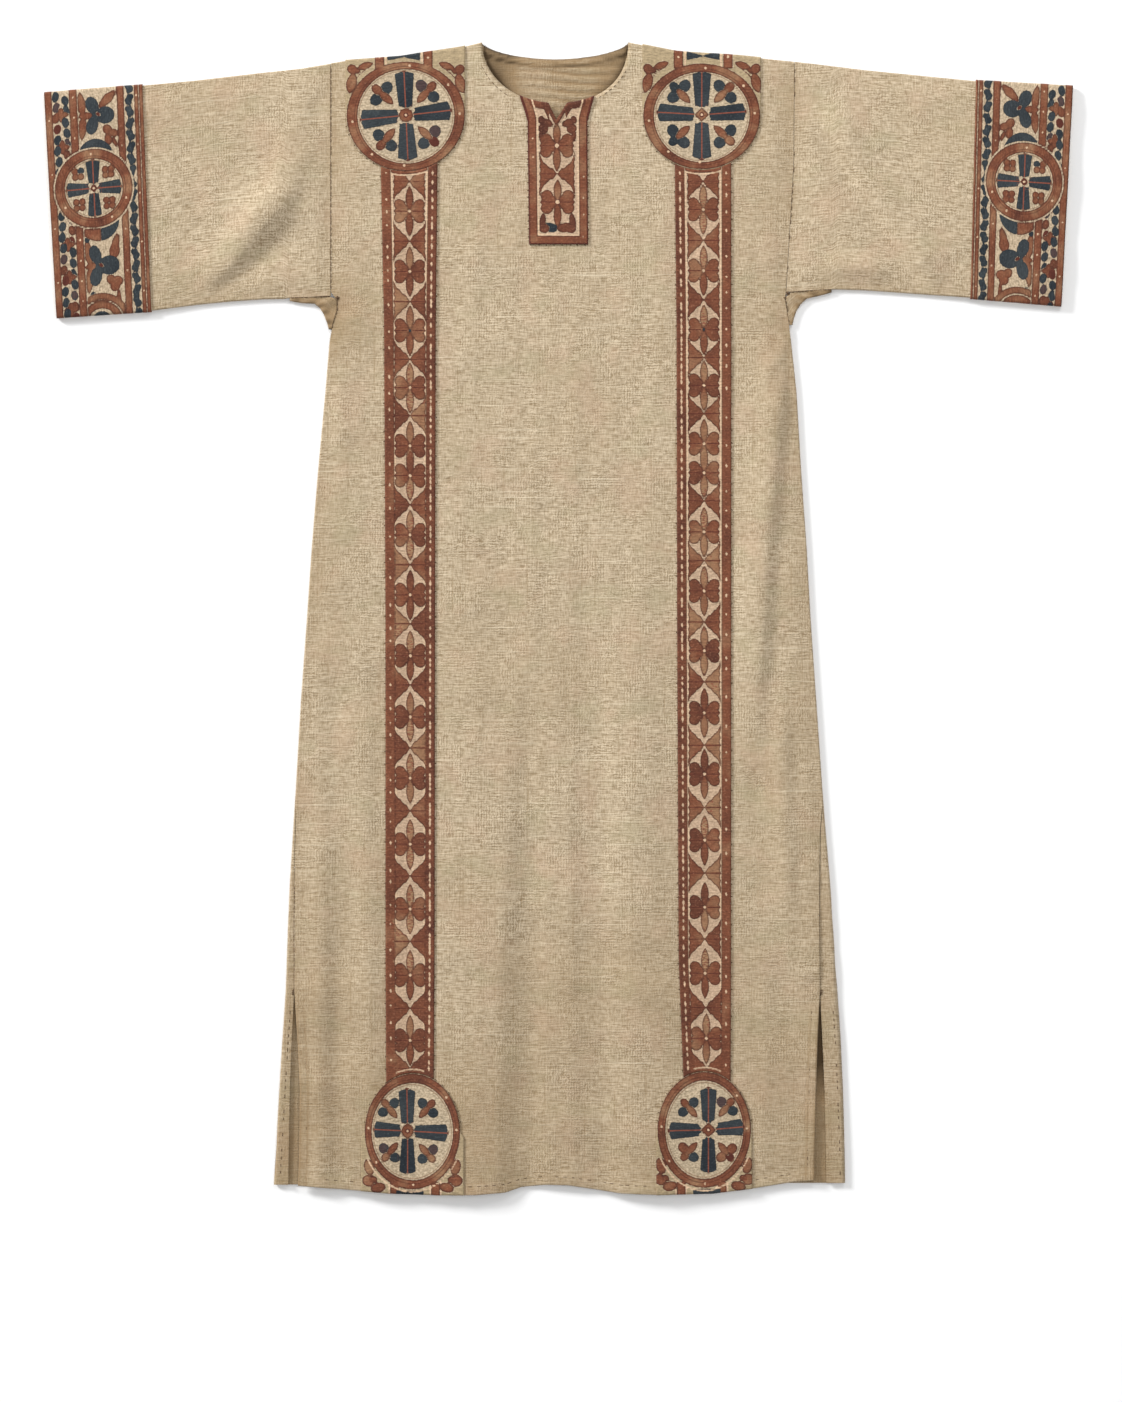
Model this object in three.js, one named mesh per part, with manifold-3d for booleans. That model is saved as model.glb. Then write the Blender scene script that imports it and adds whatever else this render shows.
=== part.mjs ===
// A tunic of coarse tabby cloth with tapestry ornament, in the late antique Egyptian manner.
// It lies flat on its back with both sleeves spread, so its cloth is two layers, one on the other.
// Millimetres. Z = 0 is the surface it lies on, +Y points to the neck and +Z is the front.
// Left is -X. A place "in" from an outer edge is above when positive and underneath when negative.

import * as THREE from 'three';
import { mergeVertices } from 'three/addons/utils/BufferGeometryUtils.js';
import Module from 'manifold-3d';

const wasm = await Module();
wasm.setup();

// ---------- Cloth, seams and how flat it all lies ----------

const CLOTH = 1.2;                           // wall of the tabby cloth
const TAPESTRY = 1.1;                        // wall of the tapestry sewn on it
const SEAM = 0.3;                            // gap between sewn neighbours
const AIR = 1.6;                             // hollow between the two layers at a pressed edge
const LOFT = 1.4;                            // how much higher the upper layer rides further in
const EASE = 14;                             // distance from a sewn edge over which it rises
const EDGE_HEIGHT = 2 * CLOTH + AIR;
const EDGE_UPRIGHT = 0.25;                   // half of the upright strip in a pressed edge
const EDGE_RADIUS = EDGE_HEIGHT / 2 - EDGE_UPRIGHT;
const EDGE_REACH = EDGE_UPRIGHT + EDGE_RADIUS * Math.PI / 2;   // mid-edge to flat, on the cloth
const PAST_EDGE = 1.5;                       // flat cloth kept beside each rounded edge
const OPEN_EDGE = 5;                         // how far a layer stops short where a piece is let in
const BAND_LIFT = SEAM + TAPESTRY;           // the cuff bands raise the sleeve ends this much
const TURN_STEPS = 6;                        // facets round a rounded edge
const SEAM_STEPS = 3;                        // facets from a seam to the flat cloth
const CLEAR_OF_CLOTH = 700;                  // farther along Y than any cloth, either way

// ---------- The body ----------

// Outer edges of the body, and the armholes above ARMPIT. Below HIPS they are seamed, then slit.
const ARMPIT = 315;
const HIPS = -190;
const EDGES = [
  { y: 626, left: -256.7, right: 266.1 },
  { y: 512, left: -256.7, right: 265.3 },
  { y: 393, left: -256.7, right: 258.1 },
  { y: 366, left: -256.7, right: 256.4 },
  { y: 360, left: -249.2, right: 255.4 },
  { y: 348, left: -249.2, right: 257.6 },
  { y: 333, left: -254.2, right: 260.0 },
  { y: 319.5, left: -257.0, right: 261.4 },
  { y: 312, left: -258.2, right: 262.4 },
  { y: 255, left: -262.9, right: 268.5 },
  { y: 165, left: -271.3, right: 273.8 },
  { y: 80, left: -278.2, right: 279.9 },
  { y: 0, left: -283.7, right: 284.3 },
  { y: -95, left: -290.6, right: 290.9 },
  { y: HIPS, left: -296.1, right: 297.4 },
  { y: -213, left: -297.6, right: 299.2 },
  { y: -240, left: -299.3, right: 301.4 },
  { y: -300, left: -303.1, right: 306.6 },
  { y: -350, left: -305.2, right: 309.8 },
  { y: -420, left: -307.6, right: 314.6 },
  { y: -478, left: -311.6, right: 318.6 },
  { y: -531, left: -314.9, right: 321.0 },
  { y: -611, left: -319.4, right: 323.9 },
  { y: -640, left: -321.1, right: 324.1 },
];

// How far in the back and front panels end, below the hips: the seams first, then the slits.
const SIDE_SEAMS = [
  { y: HIPS, backLeft: 0, frontLeft: 0, backRight: 0, frontRight: 0 },
  { y: -213, backLeft: 0.6, frontLeft: 0.9, backRight: 1.0, frontRight: 1.5 },
  { y: -240, backLeft: 2.3, frontLeft: 2.6, backRight: 6.0, frontRight: 6.4 },
  { y: -300, backLeft: 5.1, frontLeft: 5.1, backRight: 12.4, frontRight: 12.4 },
  { y: -420, backLeft: 9.6, frontLeft: 9.6, backRight: 19.8, frontRight: 19.8 },
  { y: -478, backLeft: 10.8, frontLeft: 17.2, backRight: 21.1, frontRight: 26.5 },
  { y: -531, backLeft: 12.1, frontLeft: 23.1, backRight: 21.0, frontRight: 30.4 },
  { y: -611, backLeft: 15.2, frontLeft: 26.5, backRight: 22.1, frontRight: 35.1 },
  { y: -640, backLeft: 16.6, frontLeft: 27.1, backRight: 21.9, frontRight: 35.8 },
];

const SHOULDER_LINE = [
  { x: -270, y: 624 },
  { x: -242, y: 628.6 },
  { x: -179, y: 633.1 },
  { x: -152, y: 637.5 },
  { x: -109, y: 644.1 },
  { x: -86, y: 650 },
  { x: 78, y: 650 },
  { x: 134, y: 638.8 },
  { x: 205, y: 634.2 },
  { x: 265, y: 628 },
  { x: 275, y: 626.8 },
];

const FRONT_HEM = [
  { x: -304, y: -638.7 },
  { x: -242, y: -643.8 },
  { x: -193, y: -647.9 },
  { x: -135, y: -650 },
  { x: -95, y: -650 },
  { x: -60, y: -647.2 },
  { x: -42, y: -641.2 },
  { x: -15, y: -638.6 },
  { x: 12, y: -639.3 },
  { x: 70, y: -648.3 },
  { x: 110, y: -649.8 },
  { x: 174, y: -648.2 },
  { x: 221, y: -642.5 },
  { x: 267, y: -635 },
  { x: 300, y: -633.5 },
];
const BACK_HEM = [
  { x: -322, y: -638.6 },
  { x: 325, y: -636.6 },
];

// Rounded neck openings of front and back, as powers of an oval, and the V notch in front.
const NECK = { centre: -3.9, halfWidth: 82.4, top: 650, frontDepth: 69.5, backDepth: 19.6 };
const NECK_POWERS = { frontLeft: 2.0, frontRight: 2.25, back: 1.8 };
const NECK_FACETS = 24;
const NOTCH = { left: -11.5, right: 9.9, tipX: -2.5, tipY: 560.6 };

const SHOULDER_DROPS = [SEAM / 2, EDGE_REACH / 2, EDGE_REACH, 16, 34];   // rows below the shoulder
const BODY_ROWS = [562, 500, 430, ...EDGES.filter((row) => row.y < 400).map((row) => row.y)];
const FRONT_COLUMNS = [0.04, 0.08, 0.12, 0.17, 0.22, 0.28, 0.34, 0.40, 0.46, 0.52, 0.58, 0.64,
  0.70, 0.76, 0.82, 0.87, 0.91, 0.95];       // shares of the flat upper layer
const BACK_COLUMNS = [0.04, 0.16, 0.33, 0.65, 0.76, 0.89];

// ---------- The sleeves ----------

// Sections from armhole to cuff: the folded top edge, the under edge, how far the cloth stops
// short of the under edge where the gusset is let in, and how high the section is raised.
const SLEEVES = {
  left: [
    { topX: -246, topY: 627.6, underX: -246, underY: 364.4, open: OPEN_EDGE, lift: 0 },
    { topX: -287.8, topY: 620.5, underX: -287.8, underY: 362.0, open: OPEN_EDGE, lift: 0 },
    { topX: -306, topY: 618.3, underX: -303.5, underY: 361.4, open: OPEN_EDGE, lift: 0 },
    { topX: -312, topY: 617.8, underX: -309.5, underY: 360.3, open: 0, lift: 0 },
    { topX: -337, topY: 615.1, underX: -334, underY: 359.9, open: 0, lift: 0 },
    { topX: -373, topY: 610.9, underX: -368, underY: 357.6, open: 0, lift: 0 },
    { topX: -410, topY: 606.5, underX: -404, underY: 354.1, open: 0, lift: 0 },
    { topX: -469, topY: 600.9, underX: -459, underY: 347.0, open: 0, lift: BAND_LIFT },
    { topX: -525, topY: 596.6, underX: -513, underY: 343.5, open: 0, lift: BAND_LIFT },
    { topX: -580, topY: 591.9, underX: -566, underY: 339.9, open: 0, lift: BAND_LIFT },
  ],
  right: [
    { topX: 246, topY: 630.2, underX: 246, underY: 367.2, open: OPEN_EDGE, lift: 0 },
    { topX: 290.6, topY: 625.2, underX: 287, underY: 370.0, open: OPEN_EDGE, lift: 0 },
    { topX: 309, topY: 622.9, underX: 308.5, underY: 371.0, open: OPEN_EDGE, lift: 0 },
    { topX: 316, topY: 622.1, underX: 314.5, underY: 371.0, open: 0, lift: 0 },
    { topX: 347, topY: 618.3, underX: 343, underY: 370.2, open: 0, lift: 0 },
    { topX: 378, topY: 615.2, underX: 373, underY: 368.2, open: 0, lift: 0 },
    { topX: 409, topY: 612.1, underX: 403, underY: 366.0, open: 0, lift: 0 },
    { topX: 470.6, topY: 605.9, underX: 464.4, underY: 361.7, open: 0, lift: BAND_LIFT },
    { topX: 525.5, topY: 602.7, underX: 516, underY: 357.4, open: 0, lift: BAND_LIFT },
    { topX: 580, topY: 599.5, underX: 567, underY: 353.1, open: 0, lift: BAND_LIFT },
  ],
};
const CUFF_SECTIONS = 3;                     // the band covers this many sections at the end
const SLEEVE_COLUMNS = [0.12, 0.26, 0.38, 0.5, 0.62, 0.74, 0.88];
const ARMHOLE_BOTTOM = 366;
const BELOW_ARMHOLES = 300;

// Underarm gussets, folded on the outer edge: that edge and the seam they are let into.
const GUSSETS = {
  left: [
    { edgeX: -303, edgeY: 358.0, seamX: -303, seamY: 361.4 },
    { edgeX: -290, edgeY: 355.7, seamX: -287.8, seamY: 362.0 },
    { edgeX: -275, edgeY: 354.9, seamX: -259, seamY: 363.4 },
    { edgeX: -269.1, edgeY: 349.8, seamX: -249.6, seamY: 360.2 },
    { edgeX: -264.8, edgeY: 343, seamX: -249.2, seamY: 348 },
    { edgeX: -260.8, edgeY: 332.5, seamX: -254.2, seamY: 333 },
    { edgeX: -259.2, edgeY: 326, seamX: -255.6, seamY: 326 },
  ],
  right: [
    { edgeX: 308, edgeY: 367.6, seamX: 308, seamY: 371.0 },
    { edgeX: 291.7, edgeY: 363.3, seamX: 287, seamY: 370.0 },
    { edgeX: 280.3, edgeY: 360.8, seamX: 262, seamY: 368.2 },
    { edgeX: 273, edgeY: 354.3, seamX: 255.6, seamY: 361.5 },
    { edgeX: 268.2, edgeY: 346.5, seamX: 257.6, seamY: 348 },
    { edgeX: 265.2, edgeY: 337, seamX: 259.4, seamY: 337 },
    { edgeX: 263.8, edgeY: 331, seamX: 260.2, seamY: 331 },
  ],
};

// ---------- The folds of the upper layer ----------

// Each fold is a ridge from one point to another, bowed to the right of the walk by "bow",
// fading in and out, and falling off over "leftSide" and "rightSide".
const FOLDS = [
  // skirt, right: the long fold that hangs from the armpit
  { x0: 260, y0: 330, x1: 219, y1: -240, bow: 7, leftSide: 9, rightSide: 28, height: 5.5,
    fadeIn: 110, fadeOut: 230 },
  { x0: 248, y0: -40, x1: 263, y1: -410, bow: 0, leftSide: 10, rightSide: 18, height: 3.4,
    fadeIn: 120, fadeOut: 140 },
  // skirt, middle: two ridges that grow towards the hem, with a broad valley between them
  { x0: -48, y0: 30, x1: -76, y1: -760, bow: 6, leftSide: 20, rightSide: 58, height: 5,
    fadeIn: 420, fadeOut: 60 },
  { x0: 62, y0: 90, x1: 104, y1: -760, bow: -4, leftSide: 52, rightSide: 30, height: 3.6,
    fadeIn: 430, fadeOut: 60 },
  // skirt, left
  { x0: -262, y0: -130, x1: -266, y1: -760, bow: 3, leftSide: 15, rightSide: 16, height: 3.6,
    fadeIn: 190, fadeOut: 60 },
  { x0: -214, y0: -150, x1: -203, y1: -760, bow: -2, leftSide: 30, rightSide: 15, height: 2.4,
    fadeIn: 220, fadeOut: 60 },
  // left sleeve: one deep fold from the underside and a softer one above it
  { x0: -408, y0: 362, x1: -284, y1: 506, bow: 5, leftSide: 30, rightSide: 11, height: 6,
    fadeIn: 50, fadeOut: 70 },
  { x0: -352, y0: 412, x1: -272, y1: 585, bow: 4, leftSide: 26, rightSide: 20, height: 3.2,
    fadeIn: 70, fadeOut: 60 },
  // right sleeve: the deep fold from the shoulder, and a low one along the underside
  { x0: 290, y0: 588, x1: 432, y1: 368, bow: 5, leftSide: 30, rightSide: 10, height: 6,
    fadeIn: 60, fadeOut: 45 },
  { x0: 292, y0: 402, x1: 384, y1: 392, bow: 2, leftSide: 13, rightSide: 12, height: 2.6,
    fadeIn: 30, fadeOut: 40 },
];

// ---------- The tapestry on the front ----------

const SHOULDER_ROUNDELS = {
  left: { x: -172.7, y: 567.1, radiusX: 67.1, radiusY: 62.9, half: 67.5, squareEnd: CLEAR_OF_CLOTH },
  right: { x: 161.4, y: 567.1, radiusX: 66.2, radiusY: 61.4, half: 66.8, squareEnd: CLEAR_OF_CLOTH },
};
const HEM_ROUNDELS = {
  left: { x: -164.5, y: -578.4, radiusX: 53.9, radiusY: 65.5, half: 58, squareEnd: -CLEAR_OF_CLOTH },
  right: { x: 164.2, y: -576.7, radiusX: 53.0, radiusY: 66.0, half: 54, squareEnd: -CLEAR_OF_CLOTH },
};
const CLAVI = [
  { y: 520, leftOuter: -200.4, leftInner: -136.2, rightInner: 131, rightOuter: 194.6 },
  { y: 330, leftOuter: -196.6, leftInner: -138.4, rightInner: 133, rightOuter: 194.8 },
  { y: 0, leftOuter: -195, leftInner: -139.1, rightInner: 133.7, rightOuter: 194.7 },
  { y: -385, leftOuter: -195, leftInner: -139.6, rightInner: 135.4, rightOuter: 194.4 },
  { y: -530, leftOuter: -194.1, leftInner: -140.6, rightInner: 141.2, rightOuter: 194 },
];
const NECK_PANEL = [
  { y: 592, left: -44, right: 40.5 },
  { y: 578, left: -38.6, right: 36.2 },
  { y: 564, left: -34.8, right: 32.6 },
  { y: 421.5, left: -33.1, right: 33.3 },
];

const LINEN_COLOUR = 0xc8b28e;
const MADDER_COLOUR = 0x8c4837;
const WOVEN_ROUGHNESS = 0.95;

// ---------- Reading the tables ----------

/** The value of one column of a table at a place on its first column, straight between rows. */
function column(table, key, name, at) {
  const rising = table[0][key] < table[table.length - 1][key];
  const rows = rising ? table : [...table].reverse();
  const next = rows.findIndex((row) => row[key] >= at);
  if (next === 0) return rows[0][name];
  if (next < 0) return rows[rows.length - 1][name];
  const low = rows[next - 1];
  const high = rows[next];
  return THREE.MathUtils.mapLinear(at, low[key], high[key], low[name], high[name]);
}

/** Height of all the folds over a point of the upper layer. */
function foldHeight(x, y) {
  let height = 0;
  for (const fold of FOLDS) {
    const runX = fold.x1 - fold.x0;
    const runY = fold.y1 - fold.y0;
    const length = Math.hypot(runX, runY);
    const walked = ((x - fold.x0) * runX + (y - fold.y0) * runY) / length;
    const share = walked / length;
    const aside = ((x - fold.x0) * runY - (y - fold.y0) * runX) / length
      - fold.bow * 4 * share * (1 - share);
    const half = aside > 0 ? fold.rightSide : fold.leftSide;
    const fade = THREE.MathUtils.smoothstep(walked, 0, fold.fadeIn)
      * THREE.MathUtils.smoothstep(length - walked, 0, fold.fadeOut);
    height += fold.height * fade * Math.exp(-((aside / half) ** 2));
  }
  return height;
}

/** How far the upper layer rides above a pressed edge, at a distance from the nearest seam. */
function rise(x, y, fromSeam) {
  const settled = 1 - Math.exp(-((fromSeam / EASE) ** 2));
  return settled * (LOFT + foldHeight(x, y));
}

// ---------- The shape of cloth that is folded flat ----------

const ANY_WIDTH = 1000;                      // a tube's width where only its first edge matters

/**
 * A point on the outer face of a flattened tube, found by its distance along the cloth from the
 * middle of the tube's first edge: over the upper layer when positive, underneath when negative.
 * "across" and "up" place it, and "outAcross" and "outUp" are the direction its face looks in.
 */
function aroundTube(width, distance) {
  const oneSide = 2 * EDGE_REACH + width - 2 * EDGE_RADIUS;
  let along = distance;
  if (along > oneSide) along -= 2 * oneSide;
  if (along < -oneSide) along += 2 * oneSide;
  const farHalf = Math.abs(along) > oneSide / 2;
  const fromEdge = farHalf ? oneSide - Math.abs(along) : Math.abs(along);
  const turn = THREE.MathUtils.clamp((fromEdge - EDGE_UPRIGHT) / EDGE_RADIUS, 0, Math.PI / 2);
  const flat = Math.max(fromEdge - EDGE_REACH, 0);
  const across = EDGE_RADIUS * (1 - Math.cos(turn)) + flat;
  const up = Math.min(fromEdge, EDGE_UPRIGHT) + EDGE_RADIUS * Math.sin(turn);
  return {
    across: farHalf ? width - across : across,
    up: EDGE_HEIGHT / 2 + (along < 0 ? -up : up),
    outAcross: (farHalf ? 1 : -1) * Math.cos(turn),
    outUp: (along < 0 ? -1 : 1) * Math.sin(turn),
    onTop: along > 0 && flat > 0,
  };
}

/** Distance along the cloth from mid-edge to a point that is so far in from the outer edge. */
function alongFromInset(inset) {
  const depth = Math.abs(inset);
  if (depth === 0) return 0;
  const onRound = EDGE_UPRIGHT + EDGE_RADIUS * Math.acos(1 - Math.min(depth / EDGE_RADIUS, 1));
  return Math.sign(inset) * (onRound + Math.max(depth - EDGE_RADIUS, 0));
}

/** Even steps from one number to another, both included. */
function steps(from, to, count) {
  return Array.from({ length: count + 1 }, (_, i) => from + (to - from) * i / count);
}

/**
 * A wall of cloth between two faces of points. Each face is rows of columns of Vector3.
 * The end strips share one diagonal, so that two walls that meet at a seam stay parallel.
 */
function wall(outer, inner) {
  const rows = outer.length;
  const columns = outer[0].length;
  const vertices = [...outer.flat(), ...inner.flat()].flatMap((point) => point.toArray());
  const outside = (row, col) => row * columns + col;
  const inside = (row, col) => rows * columns + outside(row, col);
  const index = [];
  const quad = (a, b, c, d) => index.push(a, b, c, a, c, d);
  for (let row = 0; row < rows - 1; row += 1) {
    for (let col = 0; col < columns - 1; col += 1) {
      quad(outside(row, col), outside(row + 1, col), outside(row + 1, col + 1),
        outside(row, col + 1));
      quad(inside(row, col), inside(row, col + 1), inside(row + 1, col + 1),
        inside(row + 1, col));
    }
    const last = columns - 1;
    quad(outside(row, 0), inside(row, 0), inside(row + 1, 0), outside(row + 1, 0));
    quad(outside(row, last), outside(row + 1, last), inside(row + 1, last), inside(row, last));
  }
  for (let col = 0; col < columns - 1; col += 1) {
    const last = rows - 1;
    quad(outside(0, col), outside(0, col + 1), inside(0, col + 1), inside(0, col));
    quad(outside(last, col), inside(last, col), inside(last, col + 1), outside(last, col + 1));
  }
  const geometry = new THREE.BufferGeometry();
  geometry.setAttribute('position', new THREE.Float32BufferAttribute(vertices, 3));
  geometry.setIndex(facingOut(vertices, index));
  return geometry;
}

/** The same triangles, turned over if they enclose a negative volume. */
function facingOut(vertices, index) {
  const corner = (i) => new THREE.Vector3().fromArray(vertices, 3 * index[i]);
  let volume = 0;
  for (let i = 0; i < index.length; i += 3) {
    volume += corner(i).dot(corner(i + 1).cross(corner(i + 2)));
  }
  return volume > 0 ? index : [...index].reverse();
}

/** A face moved along its own outward directions. Points carry theirs as "out". */
function moved(face, distance) {
  return face.map((row) => row.map((point) => {
    const shifted = point.clone().addScaledVector(point.out, distance);
    shifted.out = point.out;
    return shifted;
  }));
}

function outPoint(x, y, z, out) {
  const point = new THREE.Vector3(x, y, z);
  point.out = out;
  return point;
}

// ---------- Cutting with upright shapes ----------

const CUT_LOW = -10;                         // cutting blocks reach from here to CUT_HIGH
const CUT_HIGH = 60;
const OVAL_FACETS = 18;
const SAME_PLACE = 1e-5;                     // corners closer than this are one corner

function solidFrom(geometry) {
  const bare = geometry.clone();
  bare.deleteAttribute('normal');
  bare.deleteAttribute('uv');
  const merged = mergeVertices(bare, SAME_PLACE);
  return new wasm.Manifold(new wasm.Mesh({
    numProp: 3,
    vertProperties: merged.attributes.position.array,
    triVerts: merged.index.array,
  }));
}

function geometryFrom(solid) {
  const mesh = solid.getMesh();
  const geometry = new THREE.BufferGeometry();
  geometry.setAttribute('position', new THREE.Float32BufferAttribute(mesh.vertProperties, 3));
  geometry.setIndex(Array.from(mesh.triVerts));
  return geometry;
}

/** An upright block with the outline of a shape, taller than the tunic. */
function upright(shape) {
  const block = new THREE.ExtrudeGeometry(shape, {
    depth: CUT_HIGH - CUT_LOW,
    bevelEnabled: false,
    curveSegments: OVAL_FACETS,
  });
  block.translate(0, 0, CUT_LOW);
  return solidFrom(block);
}

function outline(pairs) {
  return new THREE.Shape(pairs.map(([x, y]) => new THREE.Vector2(x, y)));
}

// ---------- Front and back ----------

/** Where the panels end at one height of the body, as outer edges and distances in from them. */
function bodySection(y) {
  const letIn = y > ARMPIT;
  const beyond = letIn ? OPEN_EDGE : 0;
  const ends = (name) => (y > HIPS ? 0 : column(SIDE_SEAMS, 'y', name, y));
  return {
    left: column(EDGES, 'y', 'left', y) - beyond,
    right: column(EDGES, 'y', 'right', y) + beyond,
    frontLeft: letIn ? OPEN_EDGE : ends('frontLeft'),
    frontRight: letIn ? OPEN_EDGE : ends('frontRight'),
    backLeft: letIn ? -OPEN_EDGE : ends('backLeft'),
    backRight: letIn ? -OPEN_EDGE : ends('backRight'),
  };
}

/** Distances along the cloth for the front's columns, from its left end to its right end. */
function frontColumns(section) {
  const width = section.right - section.left;
  const oneSide = 2 * EDGE_REACH + width - 2 * EDGE_RADIUS;
  const start = alongFromInset(section.frontLeft) + SEAM / 2;
  const end = oneSide - alongFromInset(section.frontRight) - SEAM / 2;
  const firstFlat = Math.max(start, EDGE_REACH) + PAST_EDGE;
  const lastFlat = Math.min(end, oneSide - EDGE_REACH) - PAST_EDGE;
  return [
    ...steps(start, firstFlat, SEAM_STEPS),
    ...FRONT_COLUMNS.map((share) => THREE.MathUtils.lerp(firstFlat, lastFlat, share)),
    ...steps(lastFlat, end, SEAM_STEPS),
  ];
}

/** The same for the back, which runs underneath and up onto the front at both sides. */
function backColumns(section) {
  const width = section.right - section.left;
  const oneSide = 2 * EDGE_REACH + width - 2 * EDGE_RADIUS;
  const start = alongFromInset(section.backLeft) - SEAM / 2;
  const end = -oneSide - alongFromInset(section.backRight) + SEAM / 2;
  const firstFlat = Math.min(start, -EDGE_REACH) - PAST_EDGE;
  const lastFlat = Math.max(end, EDGE_REACH - oneSide) + PAST_EDGE;
  return [
    ...steps(start, firstFlat, TURN_STEPS),
    ...BACK_COLUMNS.map((share) => THREE.MathUtils.lerp(firstFlat, lastFlat, share)),
    ...steps(lastFlat, end, TURN_STEPS),
  ];
}

/** The outer face of a body panel: rows that follow the shoulder, then rows down to the hem. */
function panelFace(columnsOf, hem, side) {
  const face = [];
  const shoulderSection = bodySection(EDGES[0].y);
  for (const drop of SHOULDER_DROPS) {
    const fall = aroundTube(ANY_WIDTH, side * drop);
    face.push(columnsOf(shoulderSection).map((distance) => {
      const width = shoulderSection.right - shoulderSection.left;
      const x = shoulderSection.left + aroundTube(width, distance).across;
      const y = column(SHOULDER_LINE, 'x', 'y', x) - fall.across;
      const loft = fall.onTop ? bodyRise(x, y, shoulderSection) : 0;
      return outPoint(x, y, fall.up + loft, new THREE.Vector3(0, -fall.outAcross, fall.outUp));
    }));
  }
  for (const rowY of [...BODY_ROWS, null]) {
    const section = bodySection(rowY ?? EDGES[EDGES.length - 1].y);
    face.push(columnsOf(section).map((distance) => {
      const spot = aroundTube(section.right - section.left, distance);
      const x = section.left + spot.across;
      const y = rowY ?? column(hem, 'x', 'y', x);
      const loft = spot.onTop ? bodyRise(x, y, section) : 0;
      return outPoint(x, y, spot.up + loft, new THREE.Vector3(spot.outAcross, 0, spot.outUp));
    }));
  }
  return face;
}

function bodyRise(x, y, section) {
  const beyond = y > ARMPIT ? OPEN_EDGE : 0;
  const fromSides = Math.min(x - section.left, section.right - x) - beyond;
  const fromShoulder = column(SHOULDER_LINE, 'x', 'y', x) - y;
  return rise(x, y, Math.max(Math.min(fromSides, fromShoulder), 0));
}

/** Half an oval with its own roundness on each side, as points from left to right. */
function neckCurve(depth, leftPower, rightPower) {
  return steps(-1, 1, NECK_FACETS).map((share) => {
    const power = share < 0 ? leftPower : rightPower;
    const drop = depth * (1 - Math.abs(share) ** power) ** (1 / power);
    return [NECK.centre + NECK.halfWidth * share, NECK.top - drop];
  });
}

function neckOpening() {
  const curve = neckCurve(NECK.frontDepth, NECK_POWERS.frontLeft, NECK_POWERS.frontRight);
  const before = curve.filter(([x]) => x < NOTCH.left);
  const after = curve.filter(([x]) => x > NOTCH.right);
  const notch = [
    [NOTCH.left, NECK.top - NECK.frontDepth],
    [NOTCH.tipX, NOTCH.tipY],
    [NOTCH.right, NECK.top - NECK.frontDepth],
  ];
  const corners = [
    [after[after.length - 1][0], CLEAR_OF_CLOTH],
    [before[0][0], CLEAR_OF_CLOTH],
  ];
  return upright(outline([...before, ...notch, ...after, ...corners]));
}

function backNeckOpening() {
  const curve = neckCurve(NECK.backDepth, NECK_POWERS.back, NECK_POWERS.back);
  const corners = [
    [curve[curve.length - 1][0], CLEAR_OF_CLOTH],
    [curve[0][0], CLEAR_OF_CLOTH],
  ];
  return upright(outline([...curve, ...corners]));
}

const neckCut = neckOpening();
const frontFace = panelFace(frontColumns, FRONT_HEM, 1);
const backFace = panelFace(backColumns, BACK_HEM, -1);

function front() {
  return geometryFrom(solidFrom(wall(frontFace, moved(frontFace, -CLOTH))).subtract(neckCut));
}

function back() {
  const panel = solidFrom(wall(backFace, moved(backFace, -CLOTH)));
  return geometryFrom(panel.subtract(backNeckOpening()));
}

// ---------- Sleeves and cuff bands ----------

/** The outer face of a sleeve, from the under seam over the upper layer, round and back below. */
function sleeveFace(sections) {
  return sections.map((section) => {
    const top = new THREE.Vector2(section.topX, section.topY);
    const under = new THREE.Vector2(section.underX, section.underY);
    const direction = top.clone().sub(under).normalize();
    under.addScaledVector(direction, -section.open);
    const width = top.distanceTo(under);
    const oneSide = 2 * EDGE_REACH + width - 2 * EDGE_RADIUS;
    const start = alongFromInset(section.open) + SEAM / 2;
    const firstFlat = Math.max(start, EDGE_REACH) + PAST_EDGE;
    const turn = EDGE_REACH + PAST_EDGE;
    const distances = [
      ...steps(start, firstFlat, SEAM_STEPS),
      ...SLEEVE_COLUMNS.map((share) => THREE.MathUtils.lerp(firstFlat, oneSide - turn, share)),
      ...steps(oneSide - turn, oneSide + turn, TURN_STEPS),
      1.5 * oneSide,
      ...steps(2 * oneSide - firstFlat, 2 * oneSide - start, SEAM_STEPS),
    ];
    return distances.map((distance) => {
      const spot = aroundTube(width, distance);
      const x = under.x + direction.x * spot.across;
      const y = under.y + direction.y * spot.across;
      const fromUnder = spot.across - section.open;
      const fromArmhole = Math.abs(x) - Math.abs(armholeAt(Math.sign(x), y));
      const fromSeam = Math.min(fromUnder, width - spot.across, Math.max(fromArmhole, 0));
      const loft = spot.onTop ? rise(x, y, fromSeam) : 0;
      const out = new THREE.Vector3(
        direction.x * spot.outAcross, direction.y * spot.outAcross, spot.outUp);
      return outPoint(x, y, spot.up + section.lift + loft, out);
    });
  });
}

function armholeAt(sideSign, y) {
  return column(EDGES, 'y', sideSign < 0 ? 'left' : 'right', Math.max(y, ARMHOLE_BOTTOM));
}

/** Everything on the body's side of an armhole seam. */
function bodySide(sideSign) {
  const name = sideSign < 0 ? 'left' : 'right';
  const armhole = EDGES.filter((row) => row.y >= ARMHOLE_BOTTOM);
  const seam = armhole.map((row) => [row[name] + sideSign * SEAM, row.y]);
  const above = [seam[0][0], CLEAR_OF_CLOTH];
  const below = [seam[seam.length - 1][0], BELOW_ARMHOLES];
  return upright(outline([[0, above[1]], above, ...seam, below, [0, below[1]]]));
}

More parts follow.
